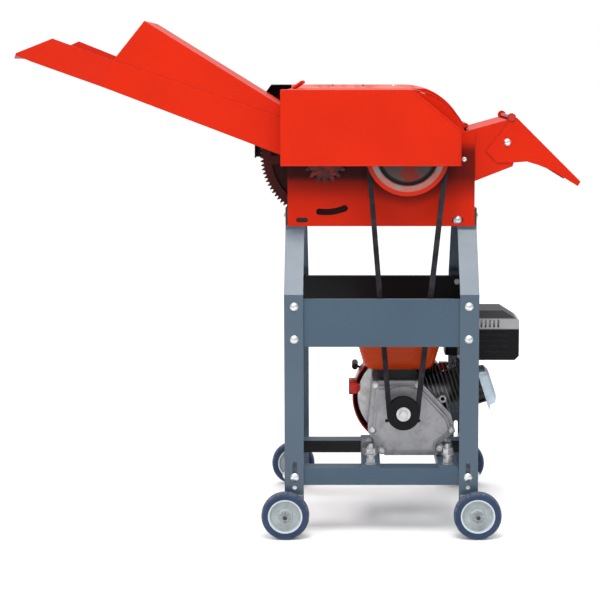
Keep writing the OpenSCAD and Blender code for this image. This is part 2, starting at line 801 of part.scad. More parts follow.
// Curved lid over the rotor and the rollers, with its leaning handle and two knuckles
module rotor_cover() {
    end_x = -body_x;
    color(red) placed() {
        lid_edge();
        difference() {
            along_y(-bo, bo) {
                translate([rotor_x, rotor_z]) ring_sector(lid_r, lid_r + lid_t, lid_start, 90);
                translate([end_x, lid_z]) square([rotor_x - end_x, lid_t]);
            }
            bar_y(lid_hinge[0], lid_hinge[1], -knuckle_half - 1, knuckle_half + 1, knuckle_r + 2 * gap);
        }
        along_y(-bi + gap, bi - gap) translate([end_x, lid_z - 27]) square([lid_t, 28]);
        for (y = [-70, 30]) difference() {
            along_y(y, y + 40) translate(lid_hinge) circle(knuckle_r);
            bar_y(lid_hinge[0], lid_hinge[1], y - 1, y + 41, pin_r + fit_gap);
        }
        bar_y(handle_x + handle_lean, guard_top + handle_up, -handle_half, handle_half, 4);
        for (y = [-handle_half + 4, handle_half - 4])
            translate([handle_x, y, guard_top + 0.6]) rotate([0, atan2(handle_lean, handle_up), 0])
                cylinder(r = 4, h = norm([handle_lean, handle_up - 0.6]));
    }
}

// Everything on the rotor is drawn about its own axis
module at_rotor() {
    translate([rotor_x, 0, rotor_z]) children();
}

// Radius and tangent direction turned to the place of knife k
module at_knife(k) {
    rotate([0, -45 - k * 360 / knives, 0]) children();
}

rotor_half = bi - 8;
spider_y = [-rotor_half + 8, 0, rotor_half - 8];
spider_t = 8;
shaft_front = belt_y - pulley_w / 2 - 5;

// Rotor shaft with three welded spiders that carry the knives
module rotor_shaft() {
    q = rotor_r;
    color(steel) placed() at_rotor() {
        bar_y(0, 0, shaft_front, rear_gear_y + gear_w + 6, shaft_r);
        bar_y(0, 0, -rotor_half, rotor_half, shaft_r + 6);
        for (y = spider_y) {
            bar_y(0, 0, y - spider_t / 2 - 2, y + spider_t / 2 + 2, 32);
            for (k = [0 : knives - 1]) at_knife(k)
                along_y(y - spider_t / 2, y + spider_t / 2)
                    polygon([[22, -10], [q - 29, -25.5], [q - 12, 14], [q - 30, 14], [22, 10]]);
        }
    }
}

// Knives bolted on the spiders; each leans back behind its cutting edge
module knife_set() {
    q = rotor_r;
    color(zinc) placed() at_rotor() for (k = [0 : knives - 1]) at_knife(k) {
        along_y(-rotor_half, rotor_half)
            polygon([[q - 29, -25.5], [q - 23, -28], [q - 1.8, 20], [q - 12, 14]]);
        for (y = spider_y)
            translate([q - 13.6, y, -7.8]) rotate([0, 113.9, 0]) cylinder(r = 6, h = 5, $fn = 6);
    }
}

// Half profile of a pulley with one V groove: radius and place across its width
function pulley_profile(r, bore, web0, web1, rim) =
    let (w = pulley_w / 2, g = belt_w / 2 + gap, s = (belt_w - belt_narrow) / 2 / belt_h, d = belt_h + 1)
    [[bore, -w], [bore + 9, -w], [web0, -w + 2], [web0, -w + 9], [rim, -w + 9], [rim, -w], [r, -w],
        [r, -g], [r - d, -g + s * d], [r - d, g - s * d], [r, g], [r, w], [rim, w], [rim, w - 6],
        [web1, w - 6], [bore + 9, w], [bore, w]];

// Large pulley with a raised disc, a groove round it and a broad rim
module rotor_pulley() {
    r = big_pulley_r;
    color(red) placed() spun_y(rotor_x, rotor_z) translate([0, belt_y])
        polygon(pulley_profile(r, shaft_r + fit_gap, r - 28, r - 28, r - 20.5));
}

// Small pulley on the engine's shaft
module engine_pulley() {
    r = small_pulley_r;
    w = pulley_w / 2;
    g = belt_w / 2 + gap;
    s = (belt_w - belt_narrow) / 2 / belt_h;
    d = belt_h + 1;
    bore = crank_r + fit_gap;
    color(black) placed() spun_y(crank_x, crank_z) translate([0, belt_y])
        polygon([[bore, -w], [r, -w], [r, -g], [r - d, -g + s * d], [r - d, g - s * d], [r, g],
            [r, w], [r - 8, w + 4], [bore, w + 4]]);
}

// Belt section: radius and place across the belt, for a pulley of radius r
function belt_section(r) = [[r - belt_h, -belt_narrow / 2], [r, -belt_w / 2],
    [r, belt_w / 2], [r - belt_h, belt_narrow / 2]];

// V-belt: two arcs joined by two straight runs, drawn with the small pulley at the origin
module drive_belt() {
    big = big_pulley_r;
    small = small_pulley_r;
    run = sqrt(pow(belt_reach, 2) - pow(big - small, 2));
    turn = atan2(rotor_z - crank_z, rotor_x - crank_x) - 90;
    color([0.09, 0.09, 0.10]) placed() translate([crank_x, belt_y, crank_z]) rotate([90, 0, 0])
        rotate(turn) {
            rotate(180 + belt_lean) rotate_extrude(angle = 180 - 2 * belt_lean)
                polygon(belt_section(small));
            translate([0, belt_reach, 0]) rotate(-belt_lean) rotate_extrude(angle = 180 + 2 * belt_lean)
                polygon(belt_section(big));
            for (s = [0, 1]) mirror([s, 0, 0]) rotate(-belt_lean) translate([0, run + belt_lap, 0])
                rotate([90, 0, 0]) linear_extrude(run + 2 * belt_lap) polygon(belt_section(small));
        }
}

mesh_angle = atan2(rotor_z - feed_z, rotor_x - feed_x);

// Pinion on the rotor shaft, turned so that a gap faces the feed gear's tooth
module pinion() {
    color(steel) placed() difference() {
        along_y(rear_gear_y, rear_gear_y + gear_w) translate([rotor_x, rotor_z])
            rotate(mesh_angle + 180 + 180 / pinion_teeth) polygon(gear_outline(pinion_teeth, feed_module, 4));
        bar_y(rotor_x, rotor_z, 0, rear_gear_y + gear_w + 1, shaft_r + fit_gap);
    }
}

// Large spoked gear that drives the lower roller
module feed_gear() {
    rim_r = feed_module * feed_teeth / 2 - 22;
    hub_r = 28;
    color(dark_red) placed() difference() {
        union() {
            along_y(rear_gear_y, rear_gear_y + gear_w) translate([feed_x, feed_z]) rotate(mesh_angle) {
                difference() {
                    polygon(gear_outline(feed_teeth, feed_module, 2));
                    circle(rim_r);
                }
                for (k = [0 : 4])
                    rotate(k * 72 + 36) translate([0, -10]) square([rim_r + 4, 20]);
            }
            bar_y(feed_x, feed_z, rear_gear_y - 2, rear_gear_y + gear_w + 4, hub_r);
        }
        bar_y(feed_x, feed_z, 0, rear_gear_y + gear_w + 5, roller_shaft_r + fit_gap);
    }
}

ribs = 10;

// Outline of a feed roller with saw-shaped ribs
function rib_outline() = [for (k = [0 : ribs - 1], p = [[-14, -9], [-2, 0], [2, 0], [14, -9]])
    let (a = k * 360 / ribs + p[0], r = roller_r + p[1])
    r * [cos(a), sin(a)]];

// Ribbed feed roller on its shaft, with its gear in front; the gear is turned by the given angle
module feed_roller(z, rear_end, gear_turn) {
    along_y(-roller_end, roller_end) translate([feed_x, z]) polygon(rib_outline());
    bar_y(feed_x, z, front_gear_y - 4, rear_end, roller_shaft_r);
    along_y(front_gear_y, front_gear_y + gear_w) translate([feed_x, z]) rotate(gear_turn)
        polygon(gear_outline(roller_teeth, roller_module, 3));
}

module lower_roller() {
    color(steel) placed() feed_roller(feed_z, rear_gear_y + gear_w + 8, 90);
}

module upper_roller() {
    color(steel) placed() feed_roller(upper_z, bo + bearing_w, 270 + 180 / roller_teeth);
}

// Two blocks that carry the upper roller and slide in the body plates' slots
module float_blocks() {
    color(slate) placed() for (s = [0, 1]) mirror([0, s, 0]) difference() {
        union() {
            block([feed_x - float_w / 2, bi - 2, upper_z - float_half],
                [feed_x + float_w / 2, bo + 2, upper_z + float_half]);
            block([feed_x - float_w / 2 - 4, bi - gap - 4, upper_z - float_half],
                [feed_x + float_w / 2 + 4, bi - gap, upper_z + float_half]);
            block([feed_x - float_w / 2 - 4, bo + gap, upper_z - float_half],
                [feed_x + float_w / 2 + 4, bo + shelf_out, upper_z + float_half]);
        }
        bar_y(feed_x, upper_z, bi - 10, bo + 20, roller_shaft_r + fit_gap);
    }
}

spring_r = 6;
wire_r = 1.2;
curls = 6;
ring_sides = 6;

// Points of one ring of the spring's wire, at turn angle a
function wire_ring(a, rise) = [for (k = [0 : ring_sides - 1])
    let (b = k * 360 / ring_sides, r = spring_r + wire_r * cos(b))
    [r * cos(a), r * sin(a), rise * a / 360 + wire_r * sin(b)]];

// Coil spring standing on z = 0: one unbroken wire
module coil_spring(h) {
    steps = curls * 8;
    rise = (h - 2 * wire_r) / curls;
    n = ring_sides;
    points = [for (i = [0 : steps], p = wire_ring(i * 45, rise)) p + [0, 0, wire_r]];
    sides = [for (i = [0 : steps - 1], k = [0 : n - 1], t = [0, 1])
        let (a = i * n + k, b = i * n + (k + 1) % n)
        t == 0 ? [a, a + n, b] : [b, a + n, b + n]];
    caps = [for (k = [1 : n - 2], t = [0, 1])
        t == 0 ? [0, k, k + 1] : [steps * n, steps * n + k + 1, steps * n + k]];
    echo(least_gap_of_a_spring_to_itself = rise - 2 * wire_r);
    polyhedron(points, concat(sides, caps));
}

// Two pressure springs between the float blocks and the shelves
module feed_springs() {
    color(zinc) placed() for (y = [-1, 1])
        translate([feed_x, y * (bo + shelf_out / 2), upper_z + float_half + gap])
            coil_spring(spring_gap_h - 2 * gap);
}

case_y0 = -100;
case_y1 = 4;
cover_y = -124;
engine_mid_y = (case_y0 + case_y1) / 2;

// Outline of the crankcase about the crankshaft
function case_outline() = [[-38, 2 - crank_h], [75, 2 - crank_h], [80, 27 - crank_h],
    [114, -52], [104, -14], [37, 58], [-64.5, 58], [-71, -14], [-74, -54]];

// Everything on the engine is drawn about the crankshaft's axis
module at_crank() {
    translate([crank_x, 0, crank_z]) children();
}

foot_h = 12;
cover_bolts = [[-58, 50], [32, 50], [-64, -47], [104, -47], [-44, -92], [80, -88]];

// Crankcase with its four feet
module crankcase() {
    color(alloy) placed() difference() {
        union() {
            at_crank() along_y(case_y0, case_y1) polygon(case_outline());
            for (x = engine_feet_x, y = engine_feet_y) {
                block([x - 17, max(y - 12, case_y0), engine_z], [x + 17, y + 12, engine_z + foot_h]);
                along_y(y - 4, y + 4) polygon(x > crank_x
                    ? [[crank_x + 60, engine_z + 4], [x - 10, engine_z + 4], [crank_x + 80, engine_z + 46],
                        [crank_x + 60, engine_z + 46]]
                    : [[x + 10, engine_z + 4], [crank_x - 30, engine_z + 4], [crank_x - 30, engine_z + 46],
                        [crank_x - 64, engine_z + 46]]);
            }
        }
        bar_y(crank_x, crank_z, case_y0 - 1, case_y1 + 1, crank_r + 6);
        for (x = engine_feet_x, y = engine_feet_y)
            translate([x, y, engine_z - 1]) cylinder(r = bolt_r + 0.5, h = foot_h + 2);
        for (b = cover_bolts)
            bar_y(crank_x + b[0], crank_z + b[1], case_y0 - 1, case_y0 + 12, 3.1);
    }
}

// Cover on the belt side: flange, raised body, bearing boss and bolt bosses
module crankcase_cover() {
    color(alloy) placed() difference() {
        at_crank() {
            along_y(case_y0 - 8, case_y0) polygon(case_outline());
            along_y(cover_y + 6, case_y0) polygon(inset(case_outline(), 9));
            along_y(cover_y, case_y0) polygon(inset(case_outline(), 15));
            bar_y(0, 0, cover_y - 3, case_y0, 50);
            bar_y(0, 0, cover_y - 6, case_y0, 30);
            for (b = cover_bolts)
                bar_y(b[0], b[1], case_y0 - 14, case_y0, 8.5);
        }
        bar_y(crank_x, crank_z, cover_y - 8, case_y0 + 1, crank_r + fit_gap);
        for (b = cover_bolts)
            bar_y(crank_x + b[0], crank_z + b[1], cover_y - 8, case_y0 + 1, 3.1);
        for (b = cover_bolts)
            bar_y(crank_x + b[0], crank_z + b[1], cover_y - 8, case_y0 - 14, 7.5);
        for (a = [35, 145, 215, 325])
            bar_y(crank_x + 41.5 * cos(a), crank_z + 41.5 * sin(a), cover_y - 8, cover_y + 12, 4);
    }
}

// Works along the tilted cylinder: X from the crankshaft to the head
module on_cylinder() {
    at_crank() translate([0, engine_mid_y, 0]) rotate([0, -tilt, 0]) children();
}

fin_start = 66;
fin_step = 8.5;
fin_t = 2.4;
fin_half = 48;
barrel_end = fin_start + fins * fin_step;
head_l = 34;

// Fin plate of half size h across the cylinder's axis
module fin_plate(x, t, h) {
    translate([x, 0, 0]) rotate([0, 90, 0]) linear_extrude(t) rounded_rect(2 * h, 2 * h, 14);
}

// Finned cylinder and its head, cut to sit against the crankcase
module cylinder_and_head() {
    on_cylinder() {
        translate([fin_start - 16, 0, 0]) rotate([0, 90, 0])
            cylinder(r = 37, h = barrel_end - fin_start + 17);
        for (i = [0 : fins - 1])
            fin_plate(fin_start + i * fin_step, fin_t, fin_half);
        fin_plate(barrel_end, 7, fin_half + 1);
        translate([barrel_end + 6, -fin_half + 8, -fin_half + 8])
            cube([head_l - 6, 2 * fin_half - 16, 2 * fin_half - 16]);
        for (i = [0 : 6])
            translate([barrel_end + 6, -fin_half, -fin_half + 3 + i * 14.6])
                cube([head_l - 6, 2 * fin_half, fin_t]);
    }
}

plug_s = barrel_end + 20;
plug_r = 5;

// Works along the spark plug, from the middle of the head outwards
module at_plug() {
    on_cylinder() translate([plug_s, 0, fin_half - 22]) rotate([90, 0, 0]) children();
}

module cylinder_block() {
    color(black) placed() difference() {
        cylinder_and_head();
        at_crank() along_y(case_y0 - 1, case_y1 + 1) polygon(case_outline());
        at_plug() translate([0, 0, fin_half - 16]) cylinder(r = plug_r + 0.1, h = 30);
    }
}

valve_drop = 20;

// Pressed valve cover on the end of the head
module valve_cover() {
    color(zinc) placed() on_cylinder() translate([barrel_end + head_l, 0, -valve_drop])
        rotate([0, 90, 0]) {
            linear_extrude(4) rounded_rect(96, 78, 12);
            hull() {
                translate([0, 0, 3]) linear_extrude(1) rounded_rect(84, 66, 14, $fn = 32);
                translate([0, 0, 17]) linear_extrude(1) rounded_rect(80, 62, 14, $fn = 32);
                translate([0, 0, 23]) linear_extrude(1) rounded_rect(62, 44, 12, $fn = 32);
            }
        }
}

muffler_x = [crank_x + 122, crank_x + 250];
muffler_z = [crank_z + 102, crank_z + 210];
shield_y = [-98, -4];

// Side-view outline of the muffler's shield
function shield_outline() = [[muffler_x[0], muffler_z[0]], [muffler_x[1] - 9, muffler_z[0]],
    [muffler_x[1], muffler_z[0] + 9], [muffler_x[1], muffler_z[1] - 22],
    [muffler_x[1] - 35, muffler_z[1]], [muffler_x[0], muffler_z[1]]];

pipe_at = [muffler_x[0] + 24, (shield_y[0] + shield_y[1]) / 2 + 1];
pipe_r = 13;

// Pressed muffler box with its pipe down to the head
module muffler() {
    y0 = shield_y[0] + 10;
    y1 = shield_y[1] - 8;
    color(steel) placed() difference() {
        union() {
            along_y(y0 + 3, y1 - 3) polygon(inset(shield_outline(), 9));
            along_y((y0 + y1) / 2 - 1, (y0 + y1) / 2 + 1) polygon(inset(shield_outline(), 5));
            translate([pipe_at[0], pipe_at[1], muffler_z[0] - 30]) cylinder(r = pipe_r, h = 50);
            for (x = [pipe_at[0], muffler_x[1] - 30])
                bar_y(x, muffler_z[0] + 60, shield_y[0] + sheet_t, y0 + 4, 6);
        }
        on_cylinder() translate([0, -60, -70]) cube([barrel_end + head_l, 120, 70 + fin_half + 1]);
    }
}

// Black shield round the muffler, with a slotted upper band and pressed ribs
module muffler_shield() {
    slots = 8;
    color(black) placed() {
        difference() {
            along_y(shield_y[0], shield_y[1]) polygon(shield_outline());
            along_y(shield_y[0] + sheet_t, shield_y[1] + 1) polygon(inset(shield_outline(), sheet_t));
            translate([pipe_at[0], pipe_at[1], muffler_z[0] - 5]) cylinder(r = pipe_r + 2, h = 10);
            for (i = [0 : slots - 1])
                block([muffler_x[0] + 18 + i * 9, shield_y[0] - 1, muffler_z[1] - 37],
                    [muffler_x[0] + 22 + i * 9, shield_y[0] + 4, muffler_z[1] - 21]);
        }
        for (i = [0 : 4])
            block([muffler_x[0] + 20, shield_y[0] - 1.5, muffler_z[0] + 16 + i * 12],
                [muffler_x[1] - 24, shield_y[0] + 0.5, muffler_z[0] + 19 + i * 12]);
    }
}

cleaner_x = [crank_x + 95, crank_x + 215];
cleaner_z = [crank_z + 92, crank_z + 196];
cleaner_y = [8, 96];

// Air cleaner box with its lid and wing nut
module air_cleaner() {
    xm = (cleaner_x[0] + cleaner_x[1]) / 2;
    ym = (cleaner_y[0] + cleaner_y[1]) / 2;
    w = cleaner_x[1] - cleaner_x[0];
    d = cleaner_y[1] - cleaner_y[0];
    color(black) placed() translate([xm, ym, 0]) {
        translate([0, 0, cleaner_z[0]]) linear_extrude(30) rounded_rect(w - 6, d - 6, 14);
        translate([0, 0, cleaner_z[0] + 30]) linear_extrude(62) rounded_rect(w, d, 18);
        translate([0, 0, cleaner_z[0] + 92]) linear_extrude(12) rounded_rect(w - 24, d - 24, 14);
        translate([0, 0, cleaner_z[1]]) cylinder(r = 5, h = 6);
        translate([-12, -2, cleaner_z[1] + 2]) cube([24, 4, 9]);
    }
}

carb_x = crank_x + 145;
carb_z = crank_z + 62;

// Carburettor on the rear of the head, with its float bowl
module carburettor() {
    color(alloy) placed() {
        block([carb_x - 24, engine_mid_y + fin_half + 1, carb_z - 20], [carb_x + 24, 10, carb_z + 20]);
        block([carb_x - 17, 9, carb_z - 14], [carb_x + 17, 50, carb_z + cleaner_z[0] - carb_z]);
        translate([carb_x, 30, carb_z - 46]) cylinder(r = 19, h = 33);
        translate([carb_x, 30, carb_z - 50]) cylinder(r = 6, h = 5, $fn = 6);
    }
}

tank_x = [crank_x - 102, crank_x + 87];
tank_z = [crank_z + 79, crank_z + 198];
tank_y = [-112, 58];

// Fuel tank with rolled edges, on two rails over the crankcase
module fuel_tank() {
    r = 24;
    cap_x = (tank_x[0] + tank_x[1]) / 2;
    color(tank_orange) placed() {
        difference() {
            hull() for (x = tank_x, y = tank_y) {
                in = x < cap_x ? 1 : -1;
                iy = y < 0 ? 1 : -1;
                translate([x + in * r, y + iy * r, tank_z[1] - r - 16]) sphere(r, $fn = 24);
                translate([x + in * (r + 16), y + iy * (r + 6), tank_z[0] + r]) sphere(r, $fn = 24);
            }
            translate([cap_x, -27, tank_z[1] - 20.5]) cylinder(r = 31, h = 30);
            bar_y(crank_x, crank_z, case_y1 - 2, tank_y[1] + 1, shroud_r + 3);
        }
        translate([cap_x, -27, tank_z[1] - 30]) cylinder(r = 24, h = 21);
        for (y = [-84, -10])
            block([crank_x - 52, y - 9, crank_z + 58], [crank_x + 30, y + 9, tank_z[0] + 4]);
    }
}

// Screw cap with grip ribs
module fuel_cap() {
    cap_x = (tank_x[0] + tank_x[1]) / 2;
    color(black) placed() translate([cap_x, -27, tank_z[1] - 9 + gap]) {
        cylinder(r = 27, h = 14);
        for (k = [0 : 11])
            rotate(k * 30) translate([26, 0, 1]) cylinder(r = 3, h = 12);
        cylinder(r = 20, h = 18);
    }
}

dome_y = case_y1 + 62;
starter_end = case_y1 + 90;

rope_r = 2.5;
grip_reach = shroud_r + 10;
lever_t = 3;
throttle_at = [crank_x + 98, crank_z + 62];
throttle_y = 60;
throttle_pin_r = 2.5;
switch_x = crank_x - shroud_r + 6;
switch_z = crank_z + 22;

// Works along the starter rope's way out of its housing
module at_rope() {
    at_crank() translate([0, dome_y + 14, 0]) rotate([0, -150, 0]) children();
}

// Fan shroud with the recoil starter's housing; hollow, with air slots
module fan_shroud() {
    r = shroud_r;
    y0 = case_y1 + gap;
    color(dark_red) placed() {
        difference() {
            spun_y(crank_x, crank_z)
                polygon([[r - 3, y0], [r, y0], [r, dome_y - 8], [r - 7, dome_y], [r - 27, dome_y + 2],
                    [r - 31, starter_end - 6], [r - 38, starter_end], [8, starter_end],
                    [8, starter_end - 3], [r - 39, starter_end - 3], [r - 34, starter_end - 7],
                    [r - 30, dome_y - 1], [r - 9, dome_y - 3], [r - 3, dome_y - 9]]);
            for (k = [0 : 9])
                at_crank() rotate([0, k * 36, 0])
                    block([36, starter_end - 12, -5], [60, starter_end + 1, 5]);
            at_rope() translate([r - 40, 0, 0]) rotate([0, 90, 0]) cylinder(r = rope_r + 1, h = 30);
            bar_y(switch_x, switch_z, 0, y0 + 12, 3 + fit_gap);
        }
        at_rope() translate([r - 30, 0, 0]) rotate([0, 90, 0]) difference() {
            cylinder(r = 7, h = 28);
            translate([0, 0, -1]) cylinder(r = rope_r + 1, h = 30);
        }
        difference() {
            block([crank_x - r - 8, y0, crank_z + 6], [crank_x - r + 24, y0 + 26, crank_z + 38]);
            bar_y(crank_x, crank_z, 0, 60, r - 1);
            bar_y(switch_x, switch_z, 0, y0 + 12, 3 + fit_gap);
        }
        difference() {
            block([throttle_at[0] - 12, throttle_y - 16, throttle_at[1] - 10],
                [throttle_at[0] + 8, throttle_y - gap, throttle_at[1] + 8]);
            bar_y(crank_x, crank_z, 0, throttle_y, r - 1);
        }
        bar_y(throttle_at[0], throttle_at[1], throttle_y - 1, throttle_y + lever_t + 2, throttle_pin_r);
        bar_y(throttle_at[0], throttle_at[1], throttle_y + lever_t + gap, throttle_y + lever_t + 2.5,
            throttle_pin_r + 2.5);
        bar_y(crank_x, crank_z, starter_end - 3, starter_end, 9);
    }
}

// Turning knob of the engine switch
module engine_switch() {
    y1 = case_y1;
    color(red) placed() {
        bar_y(switch_x, switch_z, y1 - 9, y1, 12);
        bar_y(switch_x, switch_z, y1 - 1, y1 + 10, 3);
        block([switch_x - 4, y1 - 16, switch_z - 11], [switch_x + 4, y1 - 8, switch_z + 11]);
    }
}

// Starter grip with the straight stretch of its rope inside the housing
module recoil_grip() {
    color(black) placed() at_rope() {
        translate([16, 0, 0]) rotate([0, 90, 0]) cylinder(r = rope_r, h = grip_reach - 16);
        bar_y(grip_reach, 0, -26, 26, 7);
    }
}

// Flange bolts of the cover and the bolts through the engine's feet
module engine_bolts() {
    color(zinc) placed() {
        for (b = cover_bolts)
            translate([crank_x + b[0], case_y0 - 14, crank_z + b[1]]) rotate([90, 0, 0]) hex_bolt(3, 22);
        for (x = engine_feet_x, y = engine_feet_y) translate([x, y, 0]) {
            translate([0, 0, engine_z + foot_h]) hex_bolt(bolt_r, foot_h + angle_t + 8);
            translate([0, 0, rail_top - 6.5]) cylinder(r = 1.75 * bolt_r, h = 6.5, $fn = 6);
        }
    }
}

// Spark plug in the head, with its cap
module spark_plug() {
    color(black) placed() at_plug() {
        translate([0, 0, fin_half - 6]) cylinder(r = plug_r, h = 12);
        translate([0, 0, fin_half]) cylinder(r = 10, h = 7, $fn = 6);
        translate([0, 0, fin_half + 7]) cylinder(r1 = 8, r2 = 6, h = 14);
        translate([0, 0, fin_half + 16]) cylinder(r = 8.5, h = 14);
    }
}

wheel_fan_r = shroud_r - 12;

// Crankshaft with the flywheel and its fan, and the pulley's washer and bolt
module crankshaft() {
    y0 = belt_y - pulley_w / 2;
    y1 = case_y1 + 8;
    color(steel) placed() at_crank() {
        bar_y(0, 0, y0, y1 + 34, crank_r);
        bar_y(0, 0, y1, y1 + 18, wheel_fan_r);
        bar_y(0, 0, y1, y1 + 36, 30);
        for (k = [0 : 11])
            rotate([0, k * 30, 0]) block([52, y1 + 17, -2], [wheel_fan_r - 4, y1 + 34, 2]);
        bar_y(0, 0, y0 - 3, y0, 15);
        translate([0, y0 - 3, 0]) rotate([90, 0, 0]) hex_bolt(5, 1);
    }
}

// Flat lever with a round pivot end, pointing to angle a; drawn in the side view
module lever(len, w, a) {
    rotate(a) {
        circle(w / 2 + 2);
        translate([0, -w / 2]) square([len, w]);
        translate([len, 0]) circle(w / 2 + 1);
    }
}

choke_at = [carb_x + 8, carb_z + 12];
tap_at = [carb_x - 8, carb_z - 6];

// Throttle lever on the pin of the shroud's ear
module throttle_lever() {
    y0 = throttle_y;
    color(zinc) placed() difference() {
        along_y(y0, y0 + lever_t) translate(throttle_at) lever(34, 8, 10);
        bar_y(throttle_at[0], throttle_at[1], y0 - 1, y0 + lever_t + 1, throttle_pin_r + fit_gap);
    }
}

module choke_lever() {
    color(black) placed() translate([0, 50 + gap, 0]) {
        along_y(0, lever_t) translate(choke_at) lever(24, 8, -35);
        bar_y(choke_at[0], choke_at[1], 0, 6, 5);
    }
}

module fuel_tap() {
    color(black) placed() translate([0, 50 + gap, 0]) {
        along_y(0, lever_t) translate(tap_at) lever(22, 8, 200);
        bar_y(tap_at[0], tap_at[1], 0, 6, 5);
    }
}

leg_front_left();
leg_front_right();
leg_rear_left();
leg_rear_right();
upper_panels();
frame_rails();
frame_bolts();
axles();
tyre_front_left();
tyre_front_right();
tyre_rear_left();
tyre_rear_right();
hub_front_left();
hub_front_right();
hub_rear_left();
hub_rear_right();
body_plate_front();
body_plate_rear();
belly_pan();
throat_plate();
bed_knife();
bearings();
belt_guard();
gear_guard();
feed_tray();
feed_hood();
spout();
drive_belt();
rotor_cover();
deflector();
deflector_pins();
rotor_shaft();
knife_set();
rotor_pulley();
pinion();
lower_roller();
feed_gear();
upper_roller();
float_blocks();
feed_springs();
crankcase();
crankcase_cover();
cylinder_block();  // cylinder
valve_cover();
muffler();
muffler_shield();
air_cleaner();
carburettor();
fuel_tank();
fan_shroud();
engine_bolts();
spark_plug();
crankshaft();
engine_pulley();
fuel_cap();
throttle_lever();
engine_switch();
recoil_grip();
choke_lever();
fuel_tap();
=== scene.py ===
# %% [markdown]
# # Grass shredder: finishes, trim, light and camera
# The machine's solid pieces come from the packed model, and nothing here moves or reshapes them.
# This lesson gives each one the finish that it has on the real machine, adds the trim that is too
# fine for the solids, and sets up the floor, the light and the camera. Every finish is worked out
# from the place on the machine, so no picture is needed.

# %% Load the frame
import json
import math

import bmesh
import bpy
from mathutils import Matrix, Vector


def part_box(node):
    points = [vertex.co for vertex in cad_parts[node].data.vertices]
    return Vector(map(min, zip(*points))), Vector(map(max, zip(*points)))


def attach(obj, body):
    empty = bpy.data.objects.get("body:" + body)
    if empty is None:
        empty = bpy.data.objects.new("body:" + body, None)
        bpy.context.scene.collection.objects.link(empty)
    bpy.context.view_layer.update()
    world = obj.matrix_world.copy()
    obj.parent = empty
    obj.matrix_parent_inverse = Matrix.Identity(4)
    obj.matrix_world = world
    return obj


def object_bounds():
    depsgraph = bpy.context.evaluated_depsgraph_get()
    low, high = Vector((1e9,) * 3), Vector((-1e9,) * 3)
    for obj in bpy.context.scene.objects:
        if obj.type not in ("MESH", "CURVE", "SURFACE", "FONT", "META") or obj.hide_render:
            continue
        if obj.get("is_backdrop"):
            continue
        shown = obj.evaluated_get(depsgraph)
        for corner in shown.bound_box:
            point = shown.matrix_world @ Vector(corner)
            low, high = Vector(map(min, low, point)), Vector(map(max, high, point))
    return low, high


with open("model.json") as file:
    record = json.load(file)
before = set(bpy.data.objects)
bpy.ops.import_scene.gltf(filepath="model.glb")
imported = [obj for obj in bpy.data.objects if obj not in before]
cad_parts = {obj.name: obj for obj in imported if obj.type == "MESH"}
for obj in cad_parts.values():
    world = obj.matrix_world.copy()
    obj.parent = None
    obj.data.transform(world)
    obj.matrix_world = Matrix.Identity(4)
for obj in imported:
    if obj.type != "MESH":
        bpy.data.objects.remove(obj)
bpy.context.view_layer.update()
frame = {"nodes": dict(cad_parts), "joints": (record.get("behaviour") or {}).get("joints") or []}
nodes = frame["nodes"]

# %% [markdown]
# ## Shader sums
# A finish is a sum of a few fields: a noise, a distance, a height. In the node editor each plus or
# times is a node of its own, which is slow to draw and hard to read. The small class below wraps a
# socket, so that a plain expression such as `1 - mask * 0.3` adds its Math nodes by itself. Where
# one side is a place or a direction, it takes Vector Math instead.

# %% A socket that can be used in sums
class Wire:
    """The output of a node, with the sums that the finishes need."""

    def __init__(self, finish, socket):
        self.finish = finish
        self.socket = socket

    def _math(self, operation, first, second):
        kind = "ShaderNodeMath"
        if "VECTOR" in (kind_of(first), kind_of(second)):
            kind = "ShaderNodeVectorMath"
        return self.finish.node(kind, {"operation": operation}, {0: first, 1: second})

    def __add__(self, other):
        return self._math("ADD", self, other)

    def __radd__(self, other):
        return self._math("ADD", other, self)

    def __sub__(self, other):
        return self._math("SUBTRACT", self, other)

    def __rsub__(self, other):
        return self._math("SUBTRACT", other, self)

    def __mul__(self, other):
        return self._math("MULTIPLY", self, other)

    def __rmul__(self, other):
        return self._math("MULTIPLY", other, self)


def kind_of(value):
    """The socket type of a wire, VECTOR for three numbers, otherwise VALUE."""
    if isinstance(value, Wire):
        return value.socket.type
    return "VECTOR" if isinstance(value, (tuple, Vector)) else "VALUE"


print("three numbers are a", kind_of((1, 0, 0)), "and one number is a", kind_of(1))

# %% [markdown]
# ## One finish, one material
# Every finish ends in a Principled shader. What is the same all over the piece, such as the weight
# of a clear coat, is written on the shader's own socket. Only what changes over the surface is led
# in through nodes, and all of these come from the one method `node`.

# %% A material with a method that adds any node
class Finish:
    """A material that is being written."""

    def __init__(self, name, **fixed):
        self.material = bpy.data.materials.new(name)
        self.material.use_nodes = True
        self.tree = self.material.node_tree
        self.shader = self.tree.nodes["Principled BSDF"]
        for socket, value in fixed.items():
            self.shader.inputs[socket.replace("_", " ")].default_value = value

    @classmethod
    def of(cls, owner, shader):
        """Write in the nodes of something that exists, such as the world."""
        made = cls.__new__(cls)
        made.tree = owner.node_tree
        made.shader = owner.node_tree.nodes[shader]
        return made

    def node(self, kind, settings, sockets, output=0):
        """Add a node: first its settings, then the values or links of its sockets."""
        made = self.tree.nodes.new(kind)
        for key, value in settings.items():
            setattr(made, key, value)
        for key, value in sockets.items():
            if isinstance(value, Wire):
                self.tree.links.new(value.socket, made.inputs[key])
            else:
                made.inputs[key].default_value = value
        return Wire(self, made.outputs[output])

    def feed(self, socket, wire):
        """Lead a wire into the shader."""
        self.tree.links.new(wire.socket, self.shader.inputs[socket])


print("a finish can:", [name for name in vars(Finish) if not name.startswith("_")])

